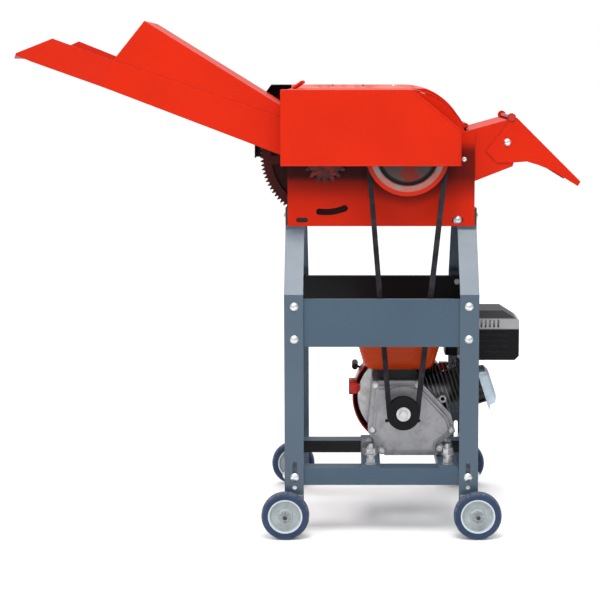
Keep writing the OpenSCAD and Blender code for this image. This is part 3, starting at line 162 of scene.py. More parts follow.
# %% [markdown]
# ## Fields and masks
# Paint clouds, grime and dust are fields: a value at each place of the machine. The Object
# coordinate gives the place in metres and stays with a piece that moves, which a world coordinate
# wouldn't do on a turning wheel. A Map Range node with a smooth step makes a mask of a field, and a
# Mix node blends two colours by a mask, because a Math node would turn them grey.

# %% Place, clouds, masks and blends
def place(finish):
    """Where a point is on the machine, in metres; it stays with a piece that moves."""
    return finish.node("ShaderNodeTexCoord", {}, {}, "Object")


def noise(finish, scale, detail=3.0, rough=0.55, stretch=None):
    """A cloudy field from 0 to 1; scale is in clouds per metre."""
    where = place(finish) * stretch if stretch else place(finish)
    sockets = {"Vector": where, "Scale": scale, "Detail": detail, "Roughness": rough}
    return finish.node("ShaderNodeTexNoise", {}, sockets)


def ramp(finish, value, low, high, at_low=0.0, at_high=1.0):
    """Smooth step from at_low to at_high while the value goes from low to high."""
    sockets = {"Value": value, "From Min": low, "From Max": high, "To Min": at_low, "To Max": at_high}
    return finish.node("ShaderNodeMapRange", {"interpolation_type": "SMOOTHSTEP"}, sockets)


def fall(finish, value, low, high):
    """1 up to low, 0 from high on."""
    return ramp(finish, value, low, high, at_low=1.0, at_high=0.0)


def blend(finish, mask, first, second):
    """Colour first where the mask is 0, second where it is 1."""
    sockets = {0: mask}
    for slot, colour in ((6, first), (7, second)):
        sockets[slot] = colour if isinstance(colour, Wire) else (*colour, 1)
    return finish.node("ShaderNodeMix", {"data_type": "RGBA"}, sockets, 2)


def shade_of(colour, factor):
    """The same colour darker or lighter."""
    return tuple(min(1.0, part * factor) for part in colour)


print("half of a mid grey:", shade_of((0.5, 0.5, 0.5), 0.5))

# %% [markdown]
# ## Edges and grain
# Paint chips and metal shines along cut edges first. The Bevel node gives the normal that the piece
# would have if its edges were rounded. Where that differs from the true normal there is an edge, so
# one node finds the edges and softens their highlights too. Finer grain than that is a bump.

# %% Edge mask and bump
def edge_mask(finish, radius):
    """1 along sharp outer edges, 0 on flat areas, and the softened normal that it comes from."""
    soft = finish.node("ShaderNodeBevel", {"samples": 4}, {"Radius": radius})
    flat = finish.node("ShaderNodeNewGeometry", {}, {}, "True Normal")
    alike = finish.node("ShaderNodeVectorMath", {"operation": "DOT_PRODUCT"}, {0: soft, 1: flat}, "Value")
    return ramp(finish, 1 - alike, low=0.02, high=0.25), soft


def bump(finish, height, strength, distance, normal=None):
    """Turn a height field into a normal; distance is the grain's height in metres."""
    sockets = {"Height": height, "Strength": strength, "Distance": distance}
    if normal is not None:
        sockets["Normal"] = normal
    return finish.node("ShaderNodeBump", {}, sockets)


paint_edge = 0.0016
metal_edge = 0.0008
print("edges are sought within", paint_edge, "m on paint and", metal_edge, "m on metal")

# %% [markdown]
# ## Enamel on sheet steel
# The red sheets are sprayed with enamel: a vivid colour with faint clouds where the coat is thicker,
# a fine orange-peel skin, and small chips along the cut edges where the grey primer shows. The pulley
# on the engine and the guard over the gears have the same coat in black.

# %% Sprayed paint
primer = (0.20, 0.20, 0.20)


def enamel(name, colour, chip=primer, rough=0.38, coat=0.02, gloss=0.12, wear=0.5, marks=None):
    """Sprayed paint with clouds, orange peel, faint rubbing and chipped edges."""
    finish = Finish(name, Coat_Weight=coat, Coat_Roughness=0.2, Specular_IOR_Level=gloss)
    clouds = ramp(finish, noise(finish, scale=7.0, detail=4.0), low=0.30, high=0.70)
    paint = blend(finish, clouds, shade_of(colour, 0.94), shade_of(colour, 1.03))
    if marks is not None:
        paint = marks(finish, paint)
    edge, soft = edge_mask(finish, paint_edge)
    flakes = ramp(finish, noise(finish, scale=240.0, detail=4.0), low=0.52, high=0.62)
    chips = edge * flakes * wear
    rubs = noise(finish, scale=60.0, detail=5.0, rough=0.7, stretch=(0.25, 1, 1))
    peel = noise(finish, scale=700.0, detail=2.0)
    finish.feed("Base Color", blend(finish, chips, paint, chip))
    finish.feed("Roughness", rough + (rubs - 0.5) * 0.22 + chips * 0.3)
    finish.feed("Normal", bump(finish, peel, strength=0.10, distance=0.0004, normal=soft))
    return finish.material


red = (0.50, 0.013, 0.0)
red_enamel = enamel("red_enamel", red)
shroud_enamel = enamel("shroud_enamel", (0.30, 0.012, 0.008), rough=0.32, coat=0.2, gloss=0.3)
sprayed_black = (0.004, 0.004, 0.005)
flat_coat = {"chip": (0.09, 0.085, 0.085), "rough": 0.45, "coat": 0.0, "wear": 0.3}
black_enamel = enamel("black_enamel", sprayed_black, **flat_coat)
guard_black = enamel("guard_black", (0.012, 0.005, 0.005), gloss=0.2, **flat_coat)
print("enamels:", red_enamel.name, shroud_enamel.name, black_enamel.name, guard_black.name)

# %% [markdown]
# ## Where a mark sits
# Some marks belong to one place: above a height, on the inner face of a sheet, or round an axle.
# Each is a mask of one coordinate, of one part of the surface's direction, or of the distance from a
# joint's axis, whose place comes from the record.

# %% Coordinates, directions and distances
joint_at = {joint["name"]: Vector(joint["pos_m"]) for joint in frame["joints"] if "pos_m" in joint}


def axis(finish, which, vector=None):
    """One coordinate, X, Y or Z, of the place on the machine."""
    return finish.node("ShaderNodeSeparateXYZ", {}, {0: vector or place(finish)}, which)


def facing(finish, which):
    """One coordinate of the surface's own direction, from -1 to 1."""
    return axis(finish, which, finish.node("ShaderNodeTexCoord", {}, {}, "Normal"))


def radius_about(finish, joint):
    """Distance from a joint's axis that runs along Y, in metres."""
    away = (place(finish) - tuple(joint_at[joint])) * (1.0, 0.0, 1.0)
    return finish.node("ShaderNodeVectorMath", {"operation": "LENGTH"}, {0: away}, "Value")


print("joints with a place:", len(joint_at))

# %% [markdown]
# ## The front plate
# A painted shadow darkens the front plate under the belt guard, with small lighter specks in it. Below it
# the painted shade fades slowly, and a painted shadow lies round the pulley. The guard hides the upper
# part, so the band ends there. The inner face is painted near black as shade.

# %% Painted shadow on the front plate
# Painted shade colours: near black for the inner face, dark red for the shadow under the guard and round
# the pulley.
inner_shade_black = (0.030, 0.004, 0.003)
shadow_red = (0.030, 0.001, 0.001)
shade_red = (0.040, 0.001, 0.0)
guard_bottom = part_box("belt_guard")[0].z


def painted_guard_shadow(finish, paint):
    """Painted shadow on the front plate under the guard and round the pulley, and painted shade on its
    inner face.
    """
    height = axis(finish, "Z")
    above = fall(finish, height, guard_bottom + 0.021, guard_bottom + 0.051)
    # Painted shadow under the belt guard, fading slowly below it.
    band = ramp(finish, height, guard_bottom - 0.041, guard_bottom - 0.025) * above
    shade_fade = ramp(finish, height, guard_bottom - 0.089, guard_bottom - 0.031, at_high=0.66) * above
    out = radius_about(finish, "rotor_spin")
    # Painted shadow round the pulley.
    pulley_shadow = ramp(finish, out, low=0.082, high=0.120, at_low=0.75, at_high=0.0)
    left = ramp(finish, axis(finish, "X"), low=0.13, high=0.17, at_low=1.0, at_high=0.5)
    fine = ramp(finish, noise(finish, scale=260.0, detail=4.0, rough=0.7), low=0.54, high=0.60)
    specks = fine * ramp(finish, noise(finish, scale=30.0), low=0.40, high=0.60)
    faded_shade = blend(finish, pulley_shadow * (1 - shade_fade) + shade_fade, paint, shade_red)
    shadowed = blend(finish, band * left * (1 - specks * 0.6), faded_shade, shadow_red)
    # Painted shade on the inner face.
    inside = ramp(finish, facing(finish, "Y"), low=0.2, high=0.4)
    return blend(finish, inside, shadowed, inner_shade_black)


front_plate_enamel = enamel("front_plate_enamel", red, gloss=0.10, marks=painted_guard_shadow)
print("front plate:", front_plate_enamel.name)

# %% [markdown]
# ## The other marked sheets
# The rear plate's inner face is painted near black as shade, which is what shows through the slots of the
# front plate. The lid's rear edge stands up and carries a pale painted highlight. The tank is a little
# more orange and stands on a black foot.
# Each patch could have a material of its own, but then its faces would have to be cut out first; a
# mask of the height or of the surface's direction leaves the mesh alone.

# %% Rear plate, lid and tank
# Pale pink of the painted highlight on the lid's rear edge.
highlight_pink = (0.72, 0.38, 0.33)
# Near black for the tank's foot, and for the painted shade on the legs inside the body.
foot_and_shade_black = (0.010, 0.010, 0.011)
lid_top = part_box("rotor_cover")[1]
lid_edge_z = (lid_top.z - 0.0178, lid_top.z + 0.006)
lid_edge_y = (lid_top.y - 0.006, lid_top.y - 0.004)
tank_foot_h = 0.022
tank_foot_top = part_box("fuel_tank")[0].z + tank_foot_h


def inner_face_shade(finish, paint):
    """Painted shade: near black on the face that looks into the body."""
    inner_face = fall(finish, facing(finish, "Y"), low=-0.4, high=-0.2)
    return blend(finish, inner_face, paint, (0.022, 0.003, 0.002))


def painted_edge_highlight(finish, paint):
    """Painted highlight on the upstanding edge at the back of the lid, broken up by noise."""
    height = axis(finish, "Z")
    low, high = lid_edge_z
    upright = ramp(finish, height, low - 0.002, low) * fall(finish, height, high, high + 0.002)
    edge = upright * ramp(finish, axis(finish, "Y"), *lid_edge_y)
    # Strength of the painted highlight, broken up by noise.
    wear_and_highlight = ramp(finish, noise(finish, scale=40.0, detail=4.0), 0.30, 0.65, at_low=0.45, at_high=0.85)
    return blend(finish, edge * wear_and_highlight, paint, highlight_pink)


def black_foot(finish, paint):
    """The tank's foot is black."""
    foot = fall(finish, axis(finish, "Z"), tank_foot_top, tank_foot_top + 0.002)
    return blend(finish, foot, paint, foot_and_shade_black)


rear_plate_enamel = enamel("rear_plate_enamel", red, marks=inner_face_shade)
lid_enamel = enamel("lid_enamel", red, marks=painted_edge_highlight)
tank_enamel = enamel("tank_enamel", (0.44, 0.037, 0.002), rough=0.28, coat=0.05, gloss=0.10, wear=0.3,
                     marks=black_foot)
print("marked sheets:", rear_plate_enamel.name, lid_enamel.name, tank_enamel.name)

# %% [markdown]
# ## The frame's slate paint
# The angle steel is blue-grey. The sheets and rails at the back are painted near black on the faces that
# look forward, as painted shade, so they read as black between the front legs, and so are the legs where
# they stand inside the body. One function makes this mark for any depth, because the rails and the panels
# differ only in where it starts.

# %% Slate paint with painted shade inside
slate = (0.045, 0.076, 0.110)
bare = (0.30, 0.30, 0.31)
body_foot_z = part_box("body_plate_front")[0].z + 0.001


def painted_rear_shade(first_y, last_y):
    """Painted shade: marks for pieces whose forward faces turn near black between two depths."""
    def marks(finish, paint):
        behind = ramp(finish, axis(finish, "Y"), first_y, last_y)
        forward = fall(finish, facing(finish, "Y"), low=-0.7, high=-0.5)
        return blend(finish, behind * forward, paint, (0.004, 0.004, 0.005))
    return marks


def painted_leg_shade(finish, paint):
    """Painted shade: near black on the forward faces of the legs where they stand inside the body."""
    inside = ramp(finish, axis(finish, "Z"), body_foot_z, body_foot_z + 0.002)
    forward = fall(finish, facing(finish, "Y"), low=-0.8, high=-0.6)
    return blend(finish, inside * forward, paint, foot_and_shade_black)


frame_enamel = enamel("frame_enamel", slate, bare, 0.34, coat=0.35, gloss=0.35, marks=painted_leg_shade)
rail_enamel = enamel("rail_enamel", slate, bare, 0.42, gloss=0.25, marks=painted_rear_shade(0.02, 0.05))
panel_enamel = enamel("panel_enamel", slate, bare, 0.42, gloss=0.25, marks=painted_rear_shade(-0.02, 0.02))
bearing_enamel = enamel("bearing_enamel", (0.06, 0.08, 0.10), bare, 0.5, coat=0.0, gloss=0.3, wear=0.8)
print("slate:", frame_enamel.name, rail_enamel.name, panel_enamel.name, bearing_enamel.name)

# %% [markdown]
# ## The muffler's shield
# The shield is pressed from black sheet. The band round its slots catches the light and reads as
# grey. It could be left to the lamps, but then it would fade when the view turns. So it is painted,
# and its height is worked out from the shield's own top edge.

# %% Shield with its grey band
shield_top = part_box("muffler_shield")[1].z


def grey_band(finish, paint):
    """Grey over the slotted band near the shield's top."""
    height = axis(finish, "Z")
    band = ramp(finish, height, shield_top - 0.042, shield_top - 0.039)
    cap = ramp(finish, height, shield_top - 0.020, shield_top - 0.016)
    return blend(finish, band * (0.85 - cap * 0.75), paint, (0.34, 0.33, 0.34))


shield_enamel = enamel("shield_enamel", sprayed_black, chip=(0.12, 0.12, 0.12), rough=0.40, coat=0.0,
                       wear=0.4, marks=grey_band)
print("shield:", shield_enamel.name, "band below", round(shield_top, 3))

# %% [markdown]
# ## Bare metal
# Zinc-plated bolts have a cloudy sheen, turned and rolled steel has fine marks across it, and cast
# alloy has a grain that breaks up every highlight. All are one recipe: a colour with a second tint
# in clouds, brighter edges, and one noise that drives both the gloss and the bump.

# %% Zinc, steel and cast alloy
def metal(name, colour, tint, rough, grain, grain_height, stretch=None, metallic=1.0):
    """Bare metal with a cloudy tint, a grain in its gloss and in its surface."""
    finish = Finish(name, Metallic=metallic)
    clouds = ramp(finish, noise(finish, scale=45.0, detail=5.0, rough=0.6), low=0.40, high=0.75)
    marks = noise(finish, grain, detail=3.0, rough=0.6, stretch=stretch)
    edge, soft = edge_mask(finish, metal_edge)
    cloudy = blend(finish, clouds, colour, tint)
    finish.feed("Base Color", blend(finish, edge * 0.6, cloudy, shade_of(colour, 1.25)))
    finish.feed("Roughness", rough + (marks - 0.5) * 0.3)
    finish.feed("Normal", bump(finish, marks, strength=0.25, distance=grain_height, normal=soft))
    return finish.material


zinc = metal("zinc_plate", (0.62, 0.63, 0.65), (0.50, 0.51, 0.53), 0.42, 500.0, 0.0002, metallic=0.5)
nut_zinc = metal("dull_zinc", (0.46, 0.47, 0.49), (0.30, 0.30, 0.31), 0.36, 400.0, 0.0003, metallic=0.6)
steel = metal("worn_steel", (0.50, 0.50, 0.51), (0.34, 0.31, 0.28), 0.34, 350.0, 0.0002, (1, 0.08, 1))
hot_steel = metal("hot_steel", (0.42, 0.40, 0.38), (0.30, 0.20, 0.13), 0.45, 300.0, 0.0003)
alloy = metal("cast_alloy", (0.33, 0.33, 0.35), (0.24, 0.24, 0.25), 0.45, 650.0, 0.0006, metallic=0.6)
bright_cover = metal("bright_cover", (0.42, 0.50, 0.56), (0.32, 0.39, 0.44), 0.32, 300.0, 0.0002,
                     metallic=0.5)
print("metals:", zinc.name, nut_zinc.name, steel.name, hot_steel.name, alloy.name, bright_cover.name)

# %% [markdown]
# ## The finned barrel
# The cylinder's fins are sprayed black, with a painted highlight along their rims. The spray misses the
# barrel's foot beside the crankcase, where the bare casting shows, so the finish changes with the place.

# %% Black fins on a bare foot
fin_edge = 0.0010


def barrel_finish():
    """Fins sprayed black with a painted highlight on their edges; the barrel's foot is left as bare
    casting.
    """
    finish = Finish("finned_barrel", Specular_IOR_Level=0.3)
    low_down = fall(finish, axis(finish, "Z"), low=0.292, high=0.304)
    foot = low_down * fall(finish, axis(finish, "X"), low=0.310, high=0.322)
    edge, soft = edge_mask(finish, fin_edge)
    soot = ramp(finish, noise(finish, scale=45.0, detail=5.0), low=0.40, high=0.75)
    stain = ramp(finish, noise(finish, scale=60.0, detail=5.0), low=0.40, high=0.70)
    black = blend(finish, soot, (0.016, 0.016, 0.018), (0.040, 0.038, 0.036))
    casting = blend(finish, stain, (0.24, 0.24, 0.25), (0.15, 0.15, 0.155))
    grain = noise(finish, scale=500.0, rough=0.6)
    # Painted highlight: the fin edges are lightened to grey.
    finish.feed("Base Color", blend(finish, edge * 0.35, blend(finish, foot, black, casting),
                                    (0.20, 0.20, 0.205)))
    finish.feed("Metallic", 0.2 + foot * 0.3)
    finish.feed("Roughness", 0.5 + (grain - 0.5) * 0.3)
    finish.feed("Normal", bump(finish, grain, strength=0.25, distance=0.0005, normal=soft))
    return finish.material


fin_black = barrel_finish()
print("barrel:", fin_black.name)

# %% [markdown]
# ## Plastic, rubber and thin web
# Moulded plastic has a fine leathery grain, and rubber is duller, with dust in its pores. A texture
# of rounded cells looks more like such a skin than a noise does. The feed gear's thin web is dull and
# dark in the same way.

# %% Grained plastic and rubber
def moulded(name, colour, rough, grain, grain_height, dust=(0.12, 0.12, 0.12)):
    """Moulded plastic or rubber with a grain and a little dust."""
    finish = Finish(name, Specular_IOR_Level=0.2)
    patches = ramp(finish, noise(finish, scale=30.0, detail=5.0, rough=0.6), low=0.45, high=0.75)
    cells = finish.node("ShaderNodeTexVoronoi", {}, {"Vector": place(finish), "Scale": grain}, "Distance")
    finish.feed("Base Color", blend(finish, patches * 0.15, colour, dust))
    finish.feed("Roughness", rough + patches * 0.15)
    finish.feed("Normal", bump(finish, cells, strength=0.2, distance=grain_height))
    return finish.material


black_plastic = moulded("black_plastic", (0.007, 0.007, 0.008), 0.5, 900.0, 0.0003, (0.05, 0.05, 0.05))
red_plastic = moulded("red_plastic", (0.55, 0.015, 0.010), 0.3, 600.0, 0.0001, (0.5, 0.2, 0.15))
boot_rubber = moulded("boot_rubber", (0.012, 0.012, 0.013), 0.7, 500.0, 0.0003)
gear_web_paint = moulded("gear_web_paint", (0.022, 0.001, 0.001), 0.6, 500.0, 0.0003, (0.05, 0.006, 0.005))
print("moulded:", black_plastic.name, red_plastic.name, boot_rubber.name, gear_web_paint.name)

# %% [markdown]
# ## Wheels
# The tyres are dark blue rubber on pale plastic hubs. On the hub the rim stands out as a lighter ring
# and the dish is shaded and dusty. On the tyre the tread is scuffed where it rolls, and a sine of the
# radius makes the fine rings that the mould leaves. Each wheel has its own axis, so each has its own
# two materials.

# %% Tyre and hub finishes
def tyre_finish(joint):
    """Dark blue rubber, scuffed towards the tread."""
    finish = Finish("tyre_" + joint, Specular_IOR_Level=0.2)
    out = radius_about(finish, joint)
    scrapes = ramp(finish, noise(finish, scale=160.0, detail=4.0), low=0.35, high=0.65)
    scuff = ramp(finish, out, low=0.045, high=0.050) * scrapes
    clouds = ramp(finish, noise(finish, scale=50.0, detail=4.0), low=0.35, high=0.7)
    rubber = blend(finish, clouds, (0.020, 0.036, 0.078), (0.030, 0.048, 0.098))
    rings = finish.node("ShaderNodeMath", {"operation": "SINE"}, {0: out * 2600.0})
    finish.feed("Base Color", blend(finish, scuff * 0.55, rubber, (0.20, 0.21, 0.23)))
    finish.feed("Roughness", 0.55 + scuff * 0.3)
    finish.feed("Normal", bump(finish, rings + noise(finish, scale=500.0), strength=0.15, distance=0.0003))
    return finish.material


def hub_finish(joint):
    """Pale plastic with a light rim ring and a dusty dish."""
    finish = Finish("hub_" + joint, Specular_IOR_Level=0.5)
    out = radius_about(finish, joint)
    dish = fall(finish, out, low=0.030, high=0.033)
    dust = dish * ramp(finish, noise(finish, scale=90.0, detail=5.0), low=0.35, high=0.75)
    pale = blend(finish, dish, (0.50, 0.57, 0.60), (0.44, 0.49, 0.50))
    hollow = ramp(finish, out, low=0.008, high=0.026, at_high=0.55) * dish
    shaded = blend(finish, hollow, pale, (0.28, 0.31, 0.32))
    finish.feed("Base Color", blend(finish, dust * 0.4, shaded, (0.24, 0.26, 0.26)))
    finish.feed("Roughness", 0.38 + dust * 0.3)
    finish.feed("Normal", bump(finish, noise(finish, scale=400.0), strength=0.1, distance=0.0002))
    return finish.material


wheel_finishes = {}
for corner in ("front_left", "front_right", "rear_left", "rear_right"):
    wheel_joint = "wheel_%s_spin" % corner
    wheel_finishes["tyre_" + corner] = tyre_finish(wheel_joint)
    wheel_finishes["hub_" + corner] = hub_finish(wheel_joint)
print("wheel finishes:", len(wheel_finishes))

# %% [markdown]
# ## Axles
# Each stub axle carries a dull washer, and its end is dark. The four axles are one node, and the front and
# rear ones share their place in the side view, so the distance to the nearer of two axes is enough.

# %% Axle ends
def axle_finish():
    """Dull steel washers round axle ends that are dark."""
    finish = Finish("axle_steel", Specular_IOR_Level=0.3)
    left, right = (radius_about(finish, "wheel_front_%s_spin" % side) for side in ("left", "right"))
    near = finish.node("ShaderNodeMath", {"operation": "MINIMUM"}, {0: left, 1: right})
    dark_end = fall(finish, near, low=0.0040, high=0.0050)
    clouds = ramp(finish, noise(finish, scale=220.0, detail=4.0), low=0.35, high=0.65)
    washer = blend(finish, clouds, (0.30, 0.33, 0.34), (0.22, 0.24, 0.25))
    finish.feed("Base Color", blend(finish, dark_end, washer, (0.035, 0.034, 0.032)))
    finish.feed("Metallic", 0.3 - dark_end * 0.2)
    finish.feed("Roughness", 0.45 + clouds * 0.1)
    finish.feed("Normal", bump(finish, noise(finish, scale=600.0), strength=0.2, distance=0.0002))
    return finish.material


axle_steel = axle_finish()
print("axles:", axle_steel.name)

# %% [markdown]
# ## The big pulley
# The upper pulley is a red casting. The belt has rubbed its rim to grey in patches, its outermost ring is
# still red, and a near-black ring of painted shade lies where the groove runs between the rim and the
# raised disc. Rings of one material, told apart by the distance from the rotor's axis, do this without
# cutting the solid.

# %% Rings of the pulley
def pulley_finish():
    """Red casting: worn rim, painted shade in the groove, greyish disc."""
    finish = Finish("pulley_casting", Specular_IOR_Level=0.2)
    out = radius_about(finish, "rotor_spin")
    outer = ramp(finish, out, low=0.0765, high=0.0790)
    on_rim = ramp(finish, out, low=0.064, high=0.0658)
    # Painted shade: a near-black ring where the groove lies.
    groove_shade = ramp(finish, out, low=0.0555, high=0.0570) * (1 - on_rim)
    worn = ramp(finish, noise(finish, scale=26.0, detail=5.0, rough=0.6), low=0.42, high=0.62)
    patches = ramp(finish, noise(finish, scale=22.0), low=0.44, high=0.58)
    wear_and_highlight = blend(finish, worn, (0.34, 0.11, 0.09), (0.24, 0.21, 0.20))
    rim = blend(finish, outer, wear_and_highlight, (0.42, 0.012, 0.001))
    disc = blend(finish, patches, (0.16, 0.014, 0.008), (0.055, 0.044, 0.042))
    cast = blend(finish, on_rim, disc, rim)
    finish.feed("Base Color", blend(finish, groove_shade, cast, (0.012, 0.011, 0.011)))
    finish.feed("Metallic", on_rim * worn * (1 - outer) * 0.5)
    finish.feed("Roughness", 0.36 + (1 - on_rim) * 0.2)
    grain = noise(finish, scale=420.0, detail=4.0)
    finish.feed("Normal", bump(finish, grain, strength=0.2, distance=0.0005))
    return finish.material


pulley_casting = pulley_finish()
print("pulley:", pulley_casting.name)

# %% [markdown]
# ## Gears and rollers
# The feed gear is dark red and its teeth are rubbed a little brighter. The steel rollers carry their
# own gears on their front ends, outside the body, and those are dark with grease.

# %% Feed gear and feed rollers
gear_back_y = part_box("lower_roller")[0].y + 0.020


def gear_finish(name, joint, tooth_start, colour):
    """Painted gear whose teeth are rubbed bright from tooth_start outwards."""
    finish = Finish(name, Specular_IOR_Level=0.15)
    teeth = ramp(finish, radius_about(finish, joint), tooth_start, tooth_start + 0.003)
    grime = ramp(finish, noise(finish, scale=80.0, detail=5.0), low=0.35, high=0.7)
    grimy = tuple(part * 0.3 + 0.01 for part in colour)
    body = blend(finish, grime * 0.6, colour, grimy)
    finish.feed("Base Color", blend(finish, teeth * 0.45, body, (0.16, 0.07, 0.06)))
    finish.feed("Metallic", teeth * 0.5)
    finish.feed("Roughness", 0.55 - teeth * 0.15)
    grain = noise(finish, scale=500.0, detail=4.0)
    finish.feed("Normal", bump(finish, grain, strength=0.25, distance=0.0005))
    return finish.material


def roller_finish():
    """Steel rollers; the gears on their front ends are dark red with grease."""
    finish = Finish("roller_steel", Specular_IOR_Level=0.3)
    front_end = fall(finish, axis(finish, "Y"), gear_back_y, gear_back_y + 0.002)
    grime = ramp(finish, noise(finish, scale=90.0, detail=5.0, rough=0.65), low=0.40, high=0.62)
    rust = ramp(finish, noise(finish, scale=40.0, detail=5.0), low=0.40, high=0.70)
    gear = blend(finish, grime, (0.018, 0.006, 0.006), (0.16, 0.012, 0.008))
    roller = blend(finish, rust, (0.42, 0.42, 0.43), (0.20, 0.17, 0.14))
    finish.feed("Base Color", blend(finish, front_end, roller, gear))
    finish.feed("Metallic", 0.9 - front_end * 0.8)
    finish.feed("Roughness", 0.38 + grime * 0.2)
    grain = noise(finish, scale=450.0, detail=4.0)
    finish.feed("Normal", bump(finish, grain, strength=0.2, distance=0.0004))
    return finish.material


feed_gear_paint = gear_finish("feed_gear_paint", "lower_roller_spin", 0.1455, (0.065, 0.007, 0.006))
roller_steel = roller_finish()
print("feed:", feed_gear_paint.name, roller_steel.name)

# %% [markdown]
# ## Bolts and pins
# The frame's bolts are zinc-plated. The lid's hinge pin is among them, but it was sprayed red with
# the sheets, and so was the upper pin of the deflector. Splitting the bolts into two pieces would
# only be for the colour, so a height tells the bright ones from the painted ones.

# %% Partly painted fasteners
def part_painted(name, from_height):
    """Zinc-plated pins and bolts; above a height they were sprayed red together with the sheets."""
    finish = Finish(name)
    painted = ramp(finish, axis(finish, "Z"), from_height, from_height + 0.002)
    clouds = ramp(finish, noise(finish, scale=45.0, detail=5.0), low=0.40, high=0.75)
    bright = blend(finish, clouds, (0.70, 0.72, 0.74), (0.46, 0.47, 0.48))
    finish.feed("Base Color", blend(finish, painted, bright, (0.34, 0.012, 0.004)))
    finish.feed("Metallic", 1 - painted)
    finish.feed("Roughness", 0.28 + noise(finish, scale=300.0) * 0.15)
    finish.feed("Normal", bump(finish, noise(finish, scale=500.0), strength=0.2, distance=0.0002))
    return finish.material


frame_fasteners = part_painted("frame_fasteners", from_height=0.80)
deflector_fasteners = part_painted("deflector_fasteners", from_height=0.85)
print("fasteners:", frame_fasteners.name, deflector_fasteners.name)

# %% [markdown]
# ## The belt
# The V-belt is black rubber with a woven cover. Two diagonal wave textures that lean opposite ways,
# multiplied, give the crossing threads.

# %% Woven belt
def threads(finish, lean):
    """Fine diagonal bands; lean mirrors them."""
    sockets = {"Vector": place(finish) * (1.0, 1.0, lean), "Scale": 260.0, "Distortion": 0.5}
    return finish.node("ShaderNodeTexWave", {"wave_type": "BANDS", "bands_direction": "DIAGONAL"}, sockets)


def belt_finish():
    """Black rubber with a woven cover that shows as a fine diagonal grid."""
    finish = Finish("belt_cover", Specular_IOR_Level=0.12)
    weave = threads(finish, 1.0) * threads(finish, -1.0)
    dust = ramp(finish, noise(finish, scale=35.0, detail=5.0), low=0.4, high=0.7)
    worn = dust * 0.4 + weave * 0.15
    finish.feed("Base Color", blend(finish, worn, (0.010, 0.009, 0.012), (0.05, 0.045, 0.055)))
    finish.feed("Roughness", 0.7 - dust * 0.1)
    finish.feed("Normal", bump(finish, weave, strength=0.4, distance=0.0004))
    return finish.material


belt_cover = belt_finish()
print("belt:", belt_cover.name)

# %% [markdown]
# ## Hand out the finishes
# Each node of the model gets one finish in place of its plain colour. The table is read like a parts
# list, and the last line would name a node that was forgotten.

# %% Node by node
finishes = {
    red_enamel: "belly_pan belt_guard feed_tray feed_hood spout deflector",
    front_plate_enamel: "body_plate_front",
    rear_plate_enamel: "body_plate_rear",
    lid_enamel: "rotor_cover",
    frame_enamel: "leg_front_left leg_front_right leg_rear_left leg_rear_right",
    rail_enamel: "frame_rails",
    panel_enamel: "upper_panels",
    bearing_enamel: "bearings float_blocks",
    zinc: "feed_springs engine_bolts throttle_lever knife_set",
    axle_steel: "axles",
    frame_fasteners: "frame_bolts",
    deflector_fasteners: "deflector_pins",
    steel: "throat_plate bed_knife rotor_shaft pinion crankshaft",
    roller_steel: "lower_roller upper_roller",
    hot_steel: "muffler",
    black_enamel: "engine_pulley",
    guard_black: "gear_guard",
    shield_enamel: "muffler_shield",
    fin_black: "cylinder",
    alloy: "crankcase crankcase_cover carburettor",
    bright_cover: "valve_cover",
    tank_enamel: "fuel_tank",
    shroud_enamel: "fan_shroud",
    black_plastic: "air_cleaner fuel_cap recoil_grip choke_lever fuel_tap",
    boot_rubber: "spark_plug",
    red_plastic: "engine_switch",
    pulley_casting: "rotor_pulley",
    feed_gear_paint: "feed_gear",
    belt_cover: "drive_belt",
}
dressed = {name: material for material, names in finishes.items() for name in names.split()}
dressed.update(wheel_finishes)
for name, material in dressed.items():
    nodes[name].data.materials.clear()
    nodes[name].data.materials.append(material)
print("dressed:", len(dressed), "undressed:", sorted(set(nodes) - set(dressed)))

# %% [markdown]
# ## Trim pieces
# The solids leave out what is finer than a few millimetres: the rolled edge of the guard, small
# screws, the nuts on the engine's rails, a weld bead. Each is a mesh of its own, built ring by ring
# in a bmesh in its final place, that then rides on the body it is fixed to. Two shapes do nearly all
# of it: a bar swept along a path, and a profile turned about an axis. All their sizes are in
# millimetres.

# %% From rings of points to a piece that rides on a body
def at(x, y, z):
    """A point given in millimetres in the record's frame."""
    return Vector((x, y, z)) / 1000


def cover_rings(shape, rings):
    """Side faces between rings of vertices, and a cap at each end."""
    for lower, upper in zip(rings, rings[1:]):
        for k in range(len(lower)):
            n = (k + 1) % len(lower)
            shape.faces.new((lower[k], lower[n], upper[n], upper[k]))
    shape.faces.new(list(reversed(rings[0])))
    shape.faces.new(rings[-1])


def keep(name, shape, body, material):
    """Turn a bmesh into an object that rides on a body; faces that meet softly are smoothed."""
    mesh = bpy.data.meshes.new(name)
    bmesh.ops.recalc_face_normals(shape, faces=shape.faces)
    shape.to_mesh(mesh)
    shape.free()
    for face in mesh.polygons:
        face.use_smooth = True
    mesh.set_sharp_from_angle(angle=math.radians(35))
    mesh.materials.append(material)
    made = bpy.data.objects.new(name, mesh)
    bpy.context.scene.collection.objects.link(made)
    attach(made, body)
    print(name, "has", len(mesh.polygons), "faces")


# %% [markdown]
# ## Bars and turned shapes
# A curve with a bevel would draw a bar, and a Screw modifier would turn a profile. Both are written
# here as rings of points instead: the same few lines close either of them, the radius of a bar can
# change along its way, as a weld needs, and six sides in place of many make a nut.

